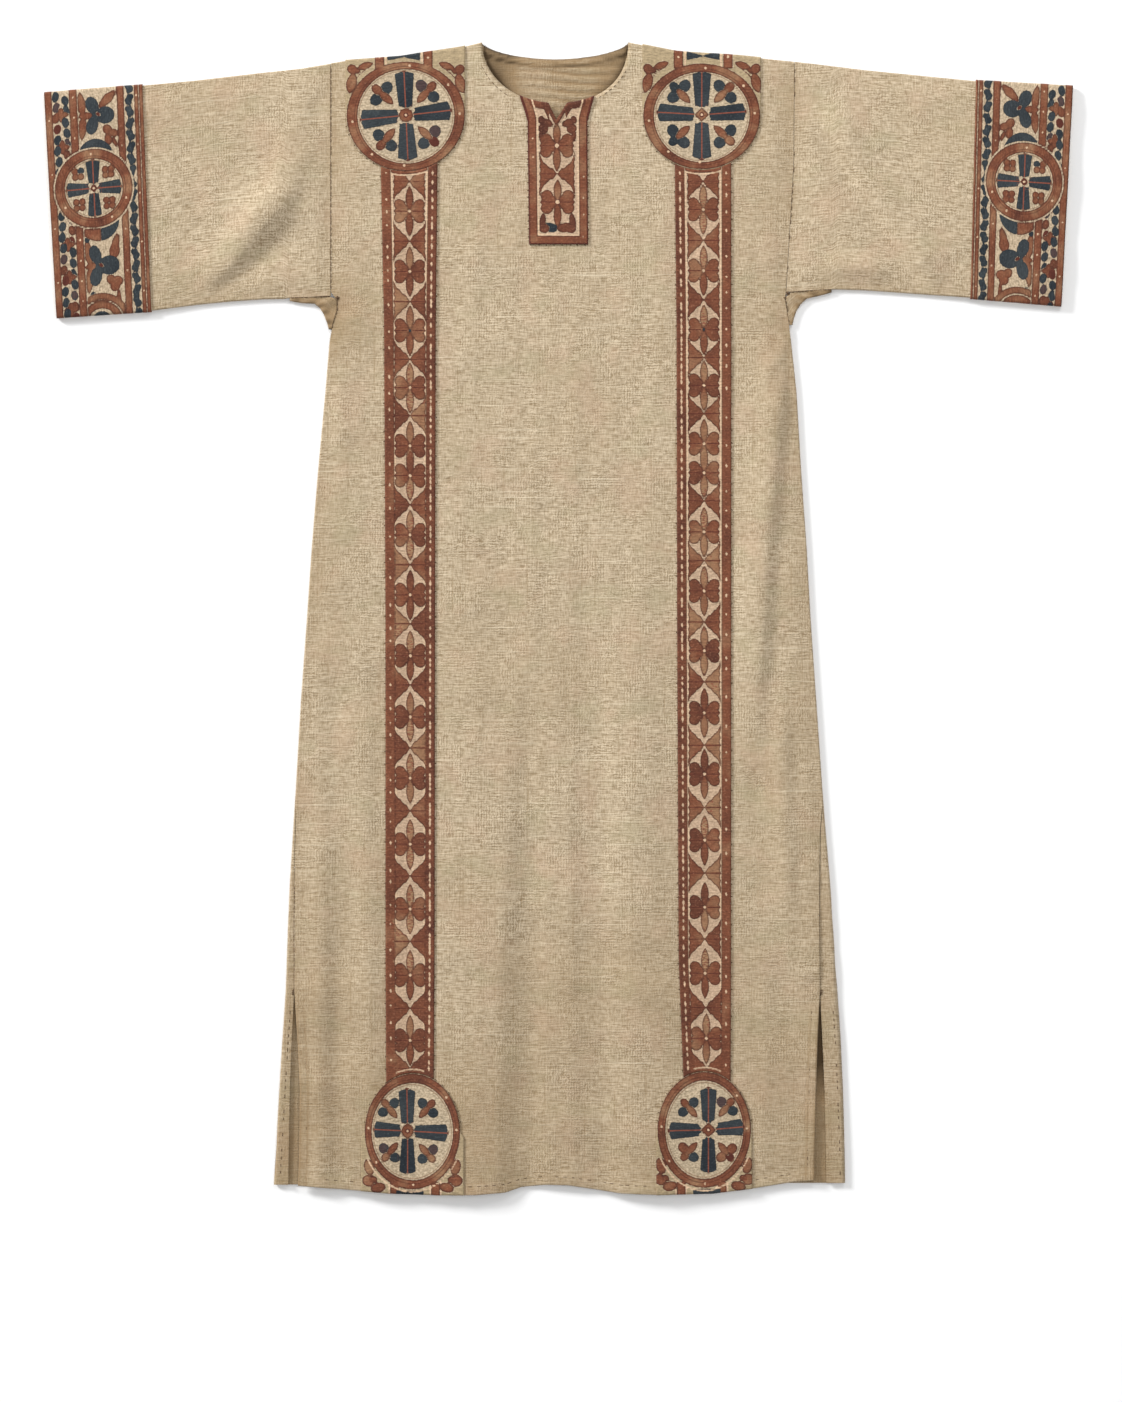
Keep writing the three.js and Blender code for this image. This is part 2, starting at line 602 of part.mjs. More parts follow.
function sleeve(side) {
  const face = sleeveFace(SLEEVES[side]);
  const tube = solidFrom(wall(face, moved(face, -CLOTH)));
  return geometryFrom(tube.subtract(bodySide(side === 'left' ? -1 : 1)));
}

function cuffBand(side) {
  const face = sleeveFace(SLEEVES[side]).slice(-CUFF_SECTIONS);
  return wall(moved(face, SEAM + TAPESTRY), moved(face, SEAM));
}

// ---------- Underarm gussets ----------

function gusset(side) {
  const face = GUSSETS[side].map((section) => {
    const edge = new THREE.Vector2(section.edgeX, section.edgeY);
    const seam = new THREE.Vector2(section.seamX, section.seamY);
    const width = edge.distanceTo(seam) - SEAM;
    const direction = seam.sub(edge).normalize();
    const end = alongFromInset(width);
    return [-end, ...steps(-EDGE_REACH, EDGE_REACH, 4), end].map((distance) => {
      const spot = aroundTube(ANY_WIDTH, distance);
      return outPoint(
        edge.x + direction.x * spot.across,
        edge.y + direction.y * spot.across,
        spot.up,
        new THREE.Vector3(direction.x * spot.outAcross, direction.y * spot.outAcross, spot.outUp));
    });
  });
  return wall(face, moved(face, -CLOTH));
}

// ---------- Tapestry sewn on the front ----------

const overFront = solidFrom(wall(moved(frontFace, SEAM + TAPESTRY), moved(frontFace, SEAM)));

/** A medallion's block: an oval, squared off on the side of the shoulder or the hem. */
function roundelBlock(roundel, grow) {
  const oval = new THREE.Shape();
  oval.absellipse(roundel.x, roundel.y, roundel.radiusX + grow, roundel.radiusY + grow,
    0, 2 * Math.PI, false, 0);
  const left = roundel.x - roundel.half;
  const right = roundel.x + roundel.half;
  const square = outline([
    [left, roundel.y], [right, roundel.y], [right, roundel.squareEnd], [left, roundel.squareEnd],
  ]);
  return upright(oval).add(upright(square));
}

function roundel(place) {
  return geometryFrom(overFront.intersect(roundelBlock(place, 0)));
}

function clavus(side) {
  const [first, second] = side === 'left'
    ? ['leftOuter', 'leftInner']
    : ['rightInner', 'rightOuter'];
  const strip = outline([
    ...CLAVI.map((row) => [row[first], row.y]),
    ...[...CLAVI].reverse().map((row) => [row[second], row.y]),
  ]);
  return geometryFrom(overFront.intersect(upright(strip))
    .subtract(roundelBlock(SHOULDER_ROUNDELS[side], SEAM))
    .subtract(roundelBlock(HEM_ROUNDELS[side], SEAM)));
}

function neckPanel() {
  const panel = outline([
    ...NECK_PANEL.map((row) => [row.left, row.y]),
    ...[...NECK_PANEL].reverse().map((row) => [row.right, row.y]),
  ]);
  return geometryFrom(overFront.intersect(upright(panel)).subtract(neckCut));
}

// ---------- The tunic ----------

const tunic = new THREE.Group();

function addPiece(name, geometry, colour) {
  const material = new THREE.MeshStandardMaterial({ color: colour, roughness: WOVEN_ROUGHNESS });
  const piece = new THREE.Mesh(geometry, material);
  piece.name = name;
  tunic.add(piece);
}

addPiece('back', back(), LINEN_COLOUR);
addPiece('front', front(), LINEN_COLOUR);
addPiece('neck_panel', neckPanel(), MADDER_COLOUR);
for (const side of ['left', 'right']) {
  addPiece(`sleeve_${side}`, sleeve(side), LINEN_COLOUR);
  addPiece(`gusset_${side}`, gusset(side), LINEN_COLOUR);
  addPiece(`cuff_band_${side}`, cuffBand(side), MADDER_COLOUR);
  addPiece(`shoulder_roundel_${side}`, roundel(SHOULDER_ROUNDELS[side]), MADDER_COLOUR);
  addPiece(`clavus_${side}`, clavus(side), MADDER_COLOUR);
  addPiece(`hem_roundel_${side}`, roundel(HEM_ROUNDELS[side]), MADDER_COLOUR);
}

export default tunic;
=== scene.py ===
import bpy
import numpy as np
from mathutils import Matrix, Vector


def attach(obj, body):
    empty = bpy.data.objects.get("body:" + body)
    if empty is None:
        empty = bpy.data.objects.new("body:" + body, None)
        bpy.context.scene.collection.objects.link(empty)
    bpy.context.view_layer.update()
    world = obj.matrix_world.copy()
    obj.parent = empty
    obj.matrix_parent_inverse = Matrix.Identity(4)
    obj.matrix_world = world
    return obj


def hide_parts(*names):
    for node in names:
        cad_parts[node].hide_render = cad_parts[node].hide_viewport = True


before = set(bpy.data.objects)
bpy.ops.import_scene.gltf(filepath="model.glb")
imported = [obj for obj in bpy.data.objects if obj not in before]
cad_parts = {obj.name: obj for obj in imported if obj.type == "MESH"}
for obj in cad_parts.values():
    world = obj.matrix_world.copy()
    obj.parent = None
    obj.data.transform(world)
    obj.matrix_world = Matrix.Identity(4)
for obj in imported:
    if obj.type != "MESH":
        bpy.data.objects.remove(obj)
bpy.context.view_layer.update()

# The looks of a tunic of coarse tabby cloth with tapestry ornament, lying flat on its back. Shapes
# are worked out in millimetres: +Y points to the neck, +Z is the front, and left is -X.

# ---------- Front panel ----------
# The upper layer of the body, in a coarse undyed tabby of uneven hand-spun thread. It is sewn to
# the back at the shoulders and the sides, which lie pressed flat, and its neck, slits and hem are
# turned under and stitched. Old folds run down from the arms.

CLOTH = 1.2                    # wall of the tabby
SEAM = 0.3                     # gap between sewn neighbours
LOFT = 1.4                     # how much higher the upper layer rides away from its seams
EASE, CREASE_EASE = 14, 5      # distances from a seam over which it rises, and its creases rise
MID_EDGE = 2.0                 # height of the seam in a pressed edge
EDGE_UPRIGHT, EDGE_RADIUS = 0.25, 1.75
EDGE_REACH = EDGE_UPRIGHT + EDGE_RADIUS * np.pi / 2      # walk from the middle of an edge onto the flat
LET_IN = 5                     # how far the armholes are cut in from a pressed edge
UNDERARM, LET_IN_OVER = 312, 7.5                         # where that begins, and over what height

BODY_TOP, BODY_BOTTOM = 650, -640
OFF_TOP = BODY_TOP + 50        # a height above all the cloth
FAR = 99.0                     # more than any distance that matters
BODY_EDGES = np.array([        # height, left, right
    (626, -256.7, 266.1), (512, -256.7, 265.3), (393, -256.7, 258.1), (366, -256.7, 256.4),
    (360, -249.2, 255.4), (348, -249.2, 257.6), (333, -254.2, 260.0), (319.5, -257.0, 261.4),
    (312, -258.2, 262.4), (255, -262.9, 268.5), (165, -271.3, 273.8), (80, -278.2, 279.9),
    (0, -283.7, 284.3), (-95, -290.6, 290.9), (-190, -296.1, 297.4), (-213, -297.6, 299.2),
    (-240, -299.3, 301.4), (-300, -303.1, 306.6), (-350, -305.2, 309.8), (-420, -307.6, 314.6),
    (-478, -311.6, 318.6), (-531, -314.9, 321.0), (-611, -319.4, 323.9), (-640, -321.1, 324.1)])
SIDE_SEAMS = np.array([        # height, how far in: back and front on the left, then on the right
    (-190, 0, 0, 0, 0), (-213, 0.6, 0.9, 1.0, 1.5), (-240, 2.3, 2.6, 6.0, 6.4),
    (-300, 5.1, 5.1, 12.4, 12.4), (-420, 9.6, 9.6, 19.8, 19.8), (-478, 10.8, 17.2, 21.1, 26.5),
    (-531, 12.1, 23.1, 21.0, 30.4), (-611, 15.2, 26.5, 22.1, 35.1), (-640, 16.6, 27.1, 21.9, 35.8)])
SHOULDER_LINE = np.array([     # across, height
    (-270, 624), (-242, 628.6), (-179, 633.1), (-152, 637.5), (-109, 644.1), (-86, 650),
    (78, 650), (134, 638.8), (205, 634.2), (265, 628), (275, 626.8)])
FRONT_HEM = np.array([         # across, height
    (-304, -638.7), (-242, -643.8), (-193, -647.9), (-135, -650), (-95, -650), (-60, -647.2),
    (-42, -641.2), (-15, -638.6), (12, -639.3), (70, -648.3), (110, -649.8), (174, -648.2),
    (221, -642.5), (267, -635), (300, -633.5)])
BACK_HEM = np.array([(-322, -638.6), (325, -636.6)])
HIPS, SLIT_TOP = -150, -420    # heights where the skirt starts to darken, and to be open
HEM, NECK_HEM = 10.0, 6.0      # widths of the turned edges
SLIT_HEMS = (9, 8)

NECK_CENTRE, NECK_HALF_WIDTH = -3.9, 82.4
FRONT_NECK_DEPTH, BACK_NECK_DEPTH = 69.5, 19.6
NOTCH = np.array([(-11.5, 580.5), (-2.5, 560.6), (9.9, 580.5)])

FOLDS = np.array([             # x, y at both ends, bow, left side, right side, height, fades
    (260, 330, 219, -240, 7, 9, 28, 5.5, 110, 230),
    (248, -40, 263, -410, 0, 10, 18, 3.4, 120, 140),
    (-48, 30, -76, -760, 6, 20, 58, 5, 420, 60),
    (62, 90, 104, -760, -4, 52, 30, 3.6, 430, 60),
    (-262, -130, -266, -760, 3, 15, 16, 3.6, 190, 60),
    (-214, -150, -203, -760, -2, 30, 15, 2.4, 220, 60),
    (-408, 362, -284, 506, 5, 30, 11, 6, 50, 70),
    (-352, 412, -272, 585, 4, 26, 20, 3.2, 70, 60),
    (290, 588, 432, 368, 5, 30, 10, 6, 60, 45),
    (292, 402, 384, 392, 2, 13, 12, 2.6, 30, 40)])
CREASES = np.array([           # the same, for creases too small for the solids
    (-250, 300, -226, 120, 6, 7, 12, 1.0, 60, 90),
    (-262, 330, -205, 262, 4, 6, 9, 0.9, 15, 45),
    (262, 320, 214, 250, -4, 6, 9, 0.9, 15, 45),
    (120, 560, 128, 250, 5, 10, 14, 0.5, 120, 120),
    (-96, 540, -104, 180, -5, 12, 14, 0.5, 120, 140),
    (20, 380, 12, -120, 6, 16, 20, 0.6, 160, 160),
    (-40, 210, -30, -330, -6, 14, 18, 0.5, 160, 160),
    (-236, -40, -250, -420, 4, 10, 12, 0.9, 120, 120),
    (236, -300, 226, -640, -4, 10, 12, 0.9, 120, 40),
    (-230, -420, -232, -660, 2, 8, 10, 0.8, 90, 30),
    (-300, -300, -276, -306, 1, 3, 4, 0.8, 6, 18),
    (-300, -412, -270, -420, 1, 3, 4, 0.9, 6, 20),
    (300, -300, 268, -296, 1, 3, 4, 0.8, 6, 20),
    (296, -404, 262, -398, 1, 3, 4, 1.0, 6, 22),
    (296, -420, 258, -428, -1, 3, 4, 1.0, 6, 24),
    (-252, 340, -206, 344, 3, 4, 6, 0.9, 8, 30),
    (256, 336, 206, 346, 3, 4, 6, 0.9, 8, 34),
    (-32, -10, -30, -670, 0, 14, 17, -1.8, 160, 10),
    (44, 80, 54, -670, 3, 14, 20, -1.4, 180, 10),
    (8, -60, 14, -670, -2, 12, 14, 1.2, 200, 10),
    (-249, -10, -252, -580, 0, 10, 12, -1.8, 140, 60),
    (-218, 10, -216, -580, 0, 10, 14, 1.5, 140, 60),
    (-90, 300, -98, -300, 4, 22, 26, 1.2, 220, 200),
    (100, 260, 92, -360, -3, 24, 24, 1.2, 220, 200),
    (-394, 366, -290, 456, 5, 11, 15, -1.6, 24, 40),
    (-384, 404, -284, 548, 6, 13, 16, 1.8, 30, 60),
    (-330, 470, -262, 600, 4, 10, 12, -1.2, 40, 30),
    (286, 566, 418, 372, 4, 15, 11, -2.6, 40, 24),
    (276, 520, 372, 376, 4, 12, 12, 1.6, 40, 24),
    (340, 566, 440, 430, 3, 12, 12, 1.2, 40, 40)])


def smooth(low, high, value):
    """0 below low, 1 above high, and three squares less two cubes of the share between them."""
    share = np.clip((value - low) / (high - low), 0, 1)
    return share * share * (3 - 2 * share)


def bell(distance, width):
    """1 on a line and less beside it: e to minus the square of distance over width."""
    return np.exp(-(distance / width) ** 2)


def fading(distance, reach):
    """1 on an edge and less away from it: e to minus distance over reach."""
    return np.exp(-distance / reach)


def read(table, at, column=1):
    """A column of a table at places along its first column, straight between its rows."""
    rows = table[np.argsort(table[:, 0])]
    return np.interp(at, rows[:, 0], rows[:, column])


def edge_turn(walk):
    """Angle of the rounded part of a pressed edge, at a walk along the cloth from its middle."""
    return np.clip((walk - EDGE_UPRIGHT) / EDGE_RADIUS, 0, np.pi / 2)


def edge_inset(walk):
    """Distance in from the edge: radius times one less the cosine of the turn, then the walk."""
    return EDGE_RADIUS * (1 - np.cos(edge_turn(walk))) + np.maximum(walk - EDGE_REACH, 0)


def edge_up(walk):
    """Height over the middle of the edge: the upright part, then radius times sine of the turn."""
    return np.minimum(walk, EDGE_UPRIGHT) + EDGE_RADIUS * np.sin(edge_turn(walk))


def walk_to(inset):
    """The walk that reaches a place so far in, above when positive and underneath when not."""
    depth = np.abs(inset)
    round_part = EDGE_UPRIGHT + EDGE_RADIUS * np.arccos(1 - np.minimum(depth / EDGE_RADIUS, 1))
    whole = round_part + np.maximum(depth - EDGE_RADIUS, 0)
    return np.sign(inset) * np.where(depth > 0, whole, 0)


def walk_over(width):
    """Walk over one side of a flattened tube: both rounded edges and the flat between them."""
    return 2 * EDGE_REACH + width - 2 * EDGE_RADIUS


def around(width, walk):
    """Place across a flattened tube, height and whether on top, at a walk round it from mid-edge."""
    one_side = walk_over(width)
    along = (walk + one_side) % (2 * one_side) - one_side
    far = np.abs(along) > one_side / 2
    from_edge = np.where(far, one_side - np.abs(along), np.abs(along))
    across = np.where(far, width - edge_inset(from_edge), edge_inset(from_edge))
    return across, MID_EDGE + np.where(along < 0, -1, 1) * edge_up(from_edge), along > 0


def ridges(table, x, y):
    """Sum of folds: height times fades at both ends, times a bell of the distance to one side."""
    total = np.zeros(np.broadcast(x, y).shape)
    for x0, y0, x1, y1, bow, left, right, height, fade_in, fade_out in table:
        length = np.hypot(x1 - x0, y1 - y0)
        walked = ((x - x0) * (x1 - x0) + (y - y0) * (y1 - y0)) / length
        share = walked / length
        aside = ((x - x0) * (y1 - y0) - (y - y0) * (x1 - x0)) / length - bow * 4 * share * (1 - share)
        fade = smooth(0, fade_in, walked) * smooth(0, fade_out, length - walked)
        total += height * fade * bell(aside, np.where(aside > 0, right, left))
    return total


UNEVEN_WAVES, UNEVEN_SHARE = 40, 0.0016      # how many, and their height as a share of their length
SHORTEST_WAVE, LONGEST_TO_SHORTEST = 14, 9
wave_source = np.random.default_rng(7)
wave_length = SHORTEST_WAVE * LONGEST_TO_SHORTEST ** wave_source.random(UNEVEN_WAVES)
wave_angle = wave_source.choice([0, np.pi / 2], UNEVEN_WAVES)
wave_angle = wave_angle + wave_source.normal(0, 0.45, UNEVEN_WAVES)
wave_phase = wave_source.random(UNEVEN_WAVES) * 2 * np.pi


def unevenness(x, y):
    """Sum of seeded plane waves, each as high as its length times a small share."""
    total = np.zeros(np.broadcast(x, y).shape)
    for length, angle, phase in zip(wave_length, wave_angle, wave_phase):
        across = x * np.cos(angle) + y * np.sin(angle)
        total += UNEVEN_SHARE * length * np.sin(2 * np.pi * across / length + phase)
    return total


def loft(x, y, from_seam):
    """Rise of the upper layer: the loft, folds, creases and unevenness, settling near a seam."""
    rise = (1 - bell(from_seam, EASE)) * (LOFT + ridges(FOLDS, x, y) + unevenness(x, y))
    return rise + (1 - bell(from_seam, CREASE_EASE)) * ridges(CREASES, x, y)


def body_edges(y):
    """Outer edges of the body at a height, and how far they pass out above the underarm."""
    let_in = LET_IN * np.clip((y - UNDERARM) / LET_IN_OVER, 0, 1)
    return read(BODY_EDGES, y) - let_in, read(BODY_EDGES, y, 2) + let_in, let_in


def front_lift(x, y):
    """Rise of the front over a place, settling towards the armholes, sides and shoulders."""
    left, right, let_in = body_edges(y)
    from_sides = np.minimum(x - left, right - x) - let_in
    return loft(x, y, np.maximum(np.minimum(from_sides, read(SHOULDER_LINE, x) - y), 0))


def neckline(x, depth, left_power, right_power):
    """Height of the neck opening's edge: half an oval, its two sides raised to their own powers."""
    share = (x - NECK_CENTRE) / NECK_HALF_WIDTH
    power = np.where(share < 0, left_power, right_power)
    inside = np.clip(1 - np.abs(share) ** power, 0, 1) ** (1 / power)
    return np.where(np.abs(share) < 1, BODY_TOP - depth * inside, OFF_TOP)


def front_neckline(x):
    """The same in front, with the notch let into its middle."""
    curve = neckline(x, FRONT_NECK_DEPTH, 2.0, 2.25)
    return np.minimum(curve, np.interp(x, NOTCH[:, 0], NOTCH[:, 1], left=OFF_TOP, right=OFF_TOP))


def neck_outline(curve):
    """The edge of an opening as points, close together where it turns up steeply."""
    swing = np.linspace(0, np.pi, 900)[1:-1]
    x = np.sort(np.concatenate([NECK_CENTRE - NECK_HALF_WIDTH * np.cos(swing), NOTCH[:, 0]]))
    return np.stack([x, curve(x)], axis=1)


def nearest(x, y, outline):
    """Distance from each place to an outline of points, and the outline's nearest point."""
    places = np.stack([np.ravel(x), np.ravel(y)], axis=1)
    gaps = np.linalg.norm(places[:, None] - outline[None], axis=2)
    return gaps.min(axis=1), outline[gaps.argmin(axis=1)]


def thread_normals(points):
    """Unit normals of a grid of points: the cross product of its steps down and across."""
    down, over = np.gradient(points, axis=0), np.gradient(points, axis=1)
    normal = np.cross(down, over)
    return normal / np.maximum(np.linalg.norm(normal, axis=2, keepdims=True), 1e-9)


def cloth_mesh(name, points, weave_map, fields=None, keep=None, thickness=CLOTH):
    """A sheet with thickness from a grid of points in mm. Rows go down and columns go right.

    keep says which cells stay. The wall grows inwards from the grid, away from its face.
    """
    rows, columns = points.shape[:2]
    index = np.arange(rows * columns).reshape(rows, columns)
    cells = np.stack([index[:-1, :-1], index[1:, :-1], index[1:, 1:], index[:-1, 1:]], axis=2)
    cells = cells.reshape(-1, 4) if keep is None else cells[keep]
    used, cells = np.unique(cells, return_inverse=True)
    cells = cells.reshape(-1, 4)
    mesh = bpy.data.meshes.new(name)
    mesh.from_pydata(points.reshape(-1, 3)[used] / 1000, [], cells)
    chart = mesh.uv_layers.new(name="cloth")
    chart.data.foreach_set("uv", (weave_map.reshape(-1, 2)[used] / 1000)[cells.ravel()].ravel())
    for field, values in (fields or {}).items():
        attribute = mesh.attributes.new(field, "FLOAT", "POINT")
        attribute.data.foreach_set("value", np.ravel(values)[used].astype(np.float32))
    mesh.polygons.foreach_set("use_smooth", np.ones(len(cells), dtype=bool))
    piece = bpy.data.objects.new(name, mesh)
    bpy.context.scene.collection.objects.link(piece)
    wall = piece.modifiers.new("wall", "SOLIDIFY")
    wall.thickness = thickness / 1000
    wall.offset = -1
    return piece


def turned_hem(from_edge, width):
    """Profile over a turned and stitched edge: half a mm up, a groove at the stitches, a round rim."""
    doubled = 0.55 * (1 - smooth(width, width + 2.5, from_edge))
    groove = 0.45 * bell(from_edge - width + 0.6, 1.1)
    return doubled - groove - 0.7 * np.clip(1 - from_edge / 1.6, 0, 1) ** 2


def cut_neck(x, y, curve):
    """Moves the corners along a neck opening onto its edge, and says which cells stay."""
    keep = (y[:-1, :-1] + y[1:, 1:]) / 2 <= curve((x[:-1, :-1] + x[1:, 1:]) / 2)
    beside_open, beside_kept = np.zeros(x.shape, dtype=bool), np.zeros(x.shape, dtype=bool)
    for corner in ((0, 0), (0, 1), (1, 0), (1, 1)):
        here = tuple(slice(first, first + count) for first, count in zip(corner, keep.shape))
        beside_open[here] |= ~keep
        beside_kept[here] |= keep
    rim = beside_open & beside_kept
    x[rim], y[rim] = nearest(x[rim], y[rim], neck_outline(curve))[1].T
    return keep


def from_neck(x, y, curve):
    """Distance from a neck opening's edge, worked out only near it."""
    distance = np.full(x.shape, FAR)
    close = (np.abs(x - NECK_CENTRE) < NECK_HALF_WIDTH + 30) & (y > BODY_TOP - FRONT_NECK_DEPTH - 50)
    distance[close] = nearest(x[close], y[close], neck_outline(curve))[0]
    return distance


def front_hems(x, y):
    """Rise of the front over its turned hem and neck edge."""
    from_hem = np.maximum(y - read(FRONT_HEM, x), 0)
    return turned_hem(from_hem, HEM) + turned_hem(from_neck(x, y, front_neckline), NECK_HEM)


SEAM_WALKS = np.array([0, .45, .9, 1.35, 1.8, 2.25, 2.7, 3.4, 4.5, 6, 7.5, 9, 10.5, 12, 14, 17, 21])
COLUMN_MARGIN = 4              # how far past those the first of the columns between them lies


def body_grid(side, middle_x, middle_y):
    """Places on a panel, the rise of its rows and heights of its columns, and walks to its sides.

    side is 1 for the front and -1 for the back. Columns lie a set walk from each side and are
    shared out between, and rows do the same. It goes round twice, as places and seams lean on
    each other.
    """
    top_walk = SEAM / 2 + SEAM_WALKS
    hem_inset = BODY_TOP - BODY_BOTTOM - SEAM_WALKS[::-1]
    inset = np.concatenate([edge_inset(top_walk), BODY_TOP - middle_y, hem_inset])[:, None]
    up = np.concatenate([edge_up(top_walk), np.full(len(middle_y) + len(hem_inset), 2.0)])[:, None]
    y = np.repeat(BODY_TOP - inset, len(middle_x) + 2 * len(SEAM_WALKS), axis=1)
    shares = (middle_x - middle_x[0] + COLUMN_MARGIN) / (np.ptp(middle_x) + 2 * COLUMN_MARGIN)
    left_seam, right_seam, hem_line = (2, 4, FRONT_HEM) if side > 0 else (1, 3, BACK_HEM)
    for _ in range(2):
        left, right, let_in = body_edges(y)
        width = right - left
        start = side * walk_to(read(SIDE_SEAMS, y, left_seam) + side * let_in) + SEAM / 2
        end = side * walk_to(read(SIDE_SEAMS, y, right_seam) + side * let_in) + SEAM / 2
        end = walk_over(width) - end
        first, last = start[:, :1] + SEAM_WALKS[-1], end[:, :1] - SEAM_WALKS[-1]
        walk = np.concatenate([start[:, :1] + SEAM_WALKS, first + (last - first) * shares,
                               end[:, :1] - SEAM_WALKS[::-1]], axis=1)
        across, height, _ = around(width, side * walk)
        x = left + across
        shoulder = (read(SHOULDER_LINE, x) - BODY_TOP) * (1 - smooth(15, 90, inset))
        hem = (read(hem_line, x) - BODY_BOTTOM) * smooth(-560, BODY_BOTTOM, BODY_TOP - inset)
        y = BODY_TOP - inset + shoulder + hem
    return x, y, up, height, walk - start, end - walk


neck_x = np.sort(np.concatenate([np.arange(-230, -94, 5.0), np.arange(-92, -13, 2.7), NOTCH[:, 0],
                                 np.arange(-9, -4, 2.2), np.arange(0, 9, 2.4),
                                 np.arange(12, 86, 2.7), np.arange(88, 238, 5.0)]))
body_y = np.concatenate([np.arange(626, 583, -2.7), [NOTCH[0, 1]], np.arange(578, 562, -2.5),
                         [NOTCH[1, 1]], np.arange(558, 530, -4.0), np.arange(528, -616, -5.0)])

x, y, up, height, from_left, from_right = body_grid(1, neck_x, body_y)
keep = cut_neck(x, y, front_neckline)
slit = smooth(SLIT_TOP, SLIT_TOP - 50, y)
from_side = np.minimum(from_left, from_right)
waves = 0.45 + 0.55 * np.sin(y / 13 + np.sign(x) * 1.2) + 0.3 * np.sin(y / 5.3)
slit_hems = turned_hem(from_left, SLIT_HEMS[0]) + turned_hem(from_right, SLIT_HEMS[1])
z = MID_EDGE + np.minimum(height - MID_EDGE, up) + front_lift(x, y) + front_hems(x, y)
z += slit * (slit_hems + waves * fading(from_side, 11))
# darker towards the hem, less so on the right of the upper skirt, and towards the sides
skirt = 0.36 * smooth(HIPS, BODY_BOTTOM, y) - 0.12 * smooth(120, 230, x) * smooth(HIPS, -450, y)
sides = 0.3 * fading(from_side, 14) + 0.06 * smooth(90, 0, from_side)
underarms = 0.35 * bell(y - 335, 50) * fading(from_side, 45)
# painted shade: a dark line along the neck's turned edge
neck_rim_shade = 0.8 * fading(from_neck(x, y, front_neckline), 2.6)
# painted shade along the slits' edges and in their hems' grooves
slit_edge_shade = slit * (0.5 * fading(from_side, 2.2) + 0.45 * bell(from_side - 9.5, 1.1))
wear_and_shade = skirt + sides + underarms + neck_rim_shade + slit_edge_shade
front = cloth_mesh("front_panel", np.stack([x, y, z], axis=2), np.stack([x, y], axis=2),
                   {"wear_and_shade": wear_and_shade}, keep)


def linear(hex_colour):
    """A colour of the screen as light: each channel to the power 2.4 above its straight foot."""
    shown = np.array([int(hex_colour[i:i + 2], 16) for i in (1, 3, 5)]) / 255
    light = np.where(shown <= 0.04045, shown / 12.92, ((shown + 0.055) / 1.055) ** 2.4)
    return (*light, 1.0)


def add(tree, kind, inputs=None, output=None, **settings):
    """Adds a node with its settings and inputs, and gives its named output or its first one."""
    node = tree.nodes.new(kind)
    for name, value in settings.items():
        setattr(node, name, value)
    for key, value in (inputs or {}).items():
        if isinstance(value, bpy.types.NodeSocket):
            tree.links.new(value, node.inputs[key])
        else:
            node.inputs[key].default_value = value
    return node.outputs[output] if output else next(one for one in node.outputs if one.enabled)


def plain_material(name, finish):
    """A new material, its node tree and its surface, with a finish by the names of its inputs."""
    material = bpy.data.materials.new(name)
    material.use_nodes = True
    surface = material.node_tree.nodes["Principled BSDF"]
    for key, value in finish.items():
        surface.inputs[key].default_value = value
    return material, material.node_tree, surface


def laid_over(tree, colour, layers):
    """Colours one over another. layers: value, where it starts and is full, strength, colour."""
    for value, low, high, strength, upper in layers:
        share = add(tree, "ShaderNodeMapRange", {
            "Value": value, "From Min": low, "From Max": high, "To Max": strength})
        colour = add(tree, "ShaderNodeMix", {
            "Factor": share, "A": colour, "B": linear(upper) if isinstance(upper, str) else upper},
            data_type="RGBA")
    return colour


def noises(tree, chart, table):
    """Noises by name, each stretched by so many features to the metre across and down."""
    made = {}
    for name, across, down, detail in table:
        stretched = add(tree, "ShaderNodeMapping", {
            "Vector": chart, "Scale": (across, down, 1), "Location": (len(made), 2 * len(made), 0)})
        made[name] = add(tree, "ShaderNodeTexNoise", {
            "Vector": stretched, "Scale": 1.0, "Detail": detail})
    return made


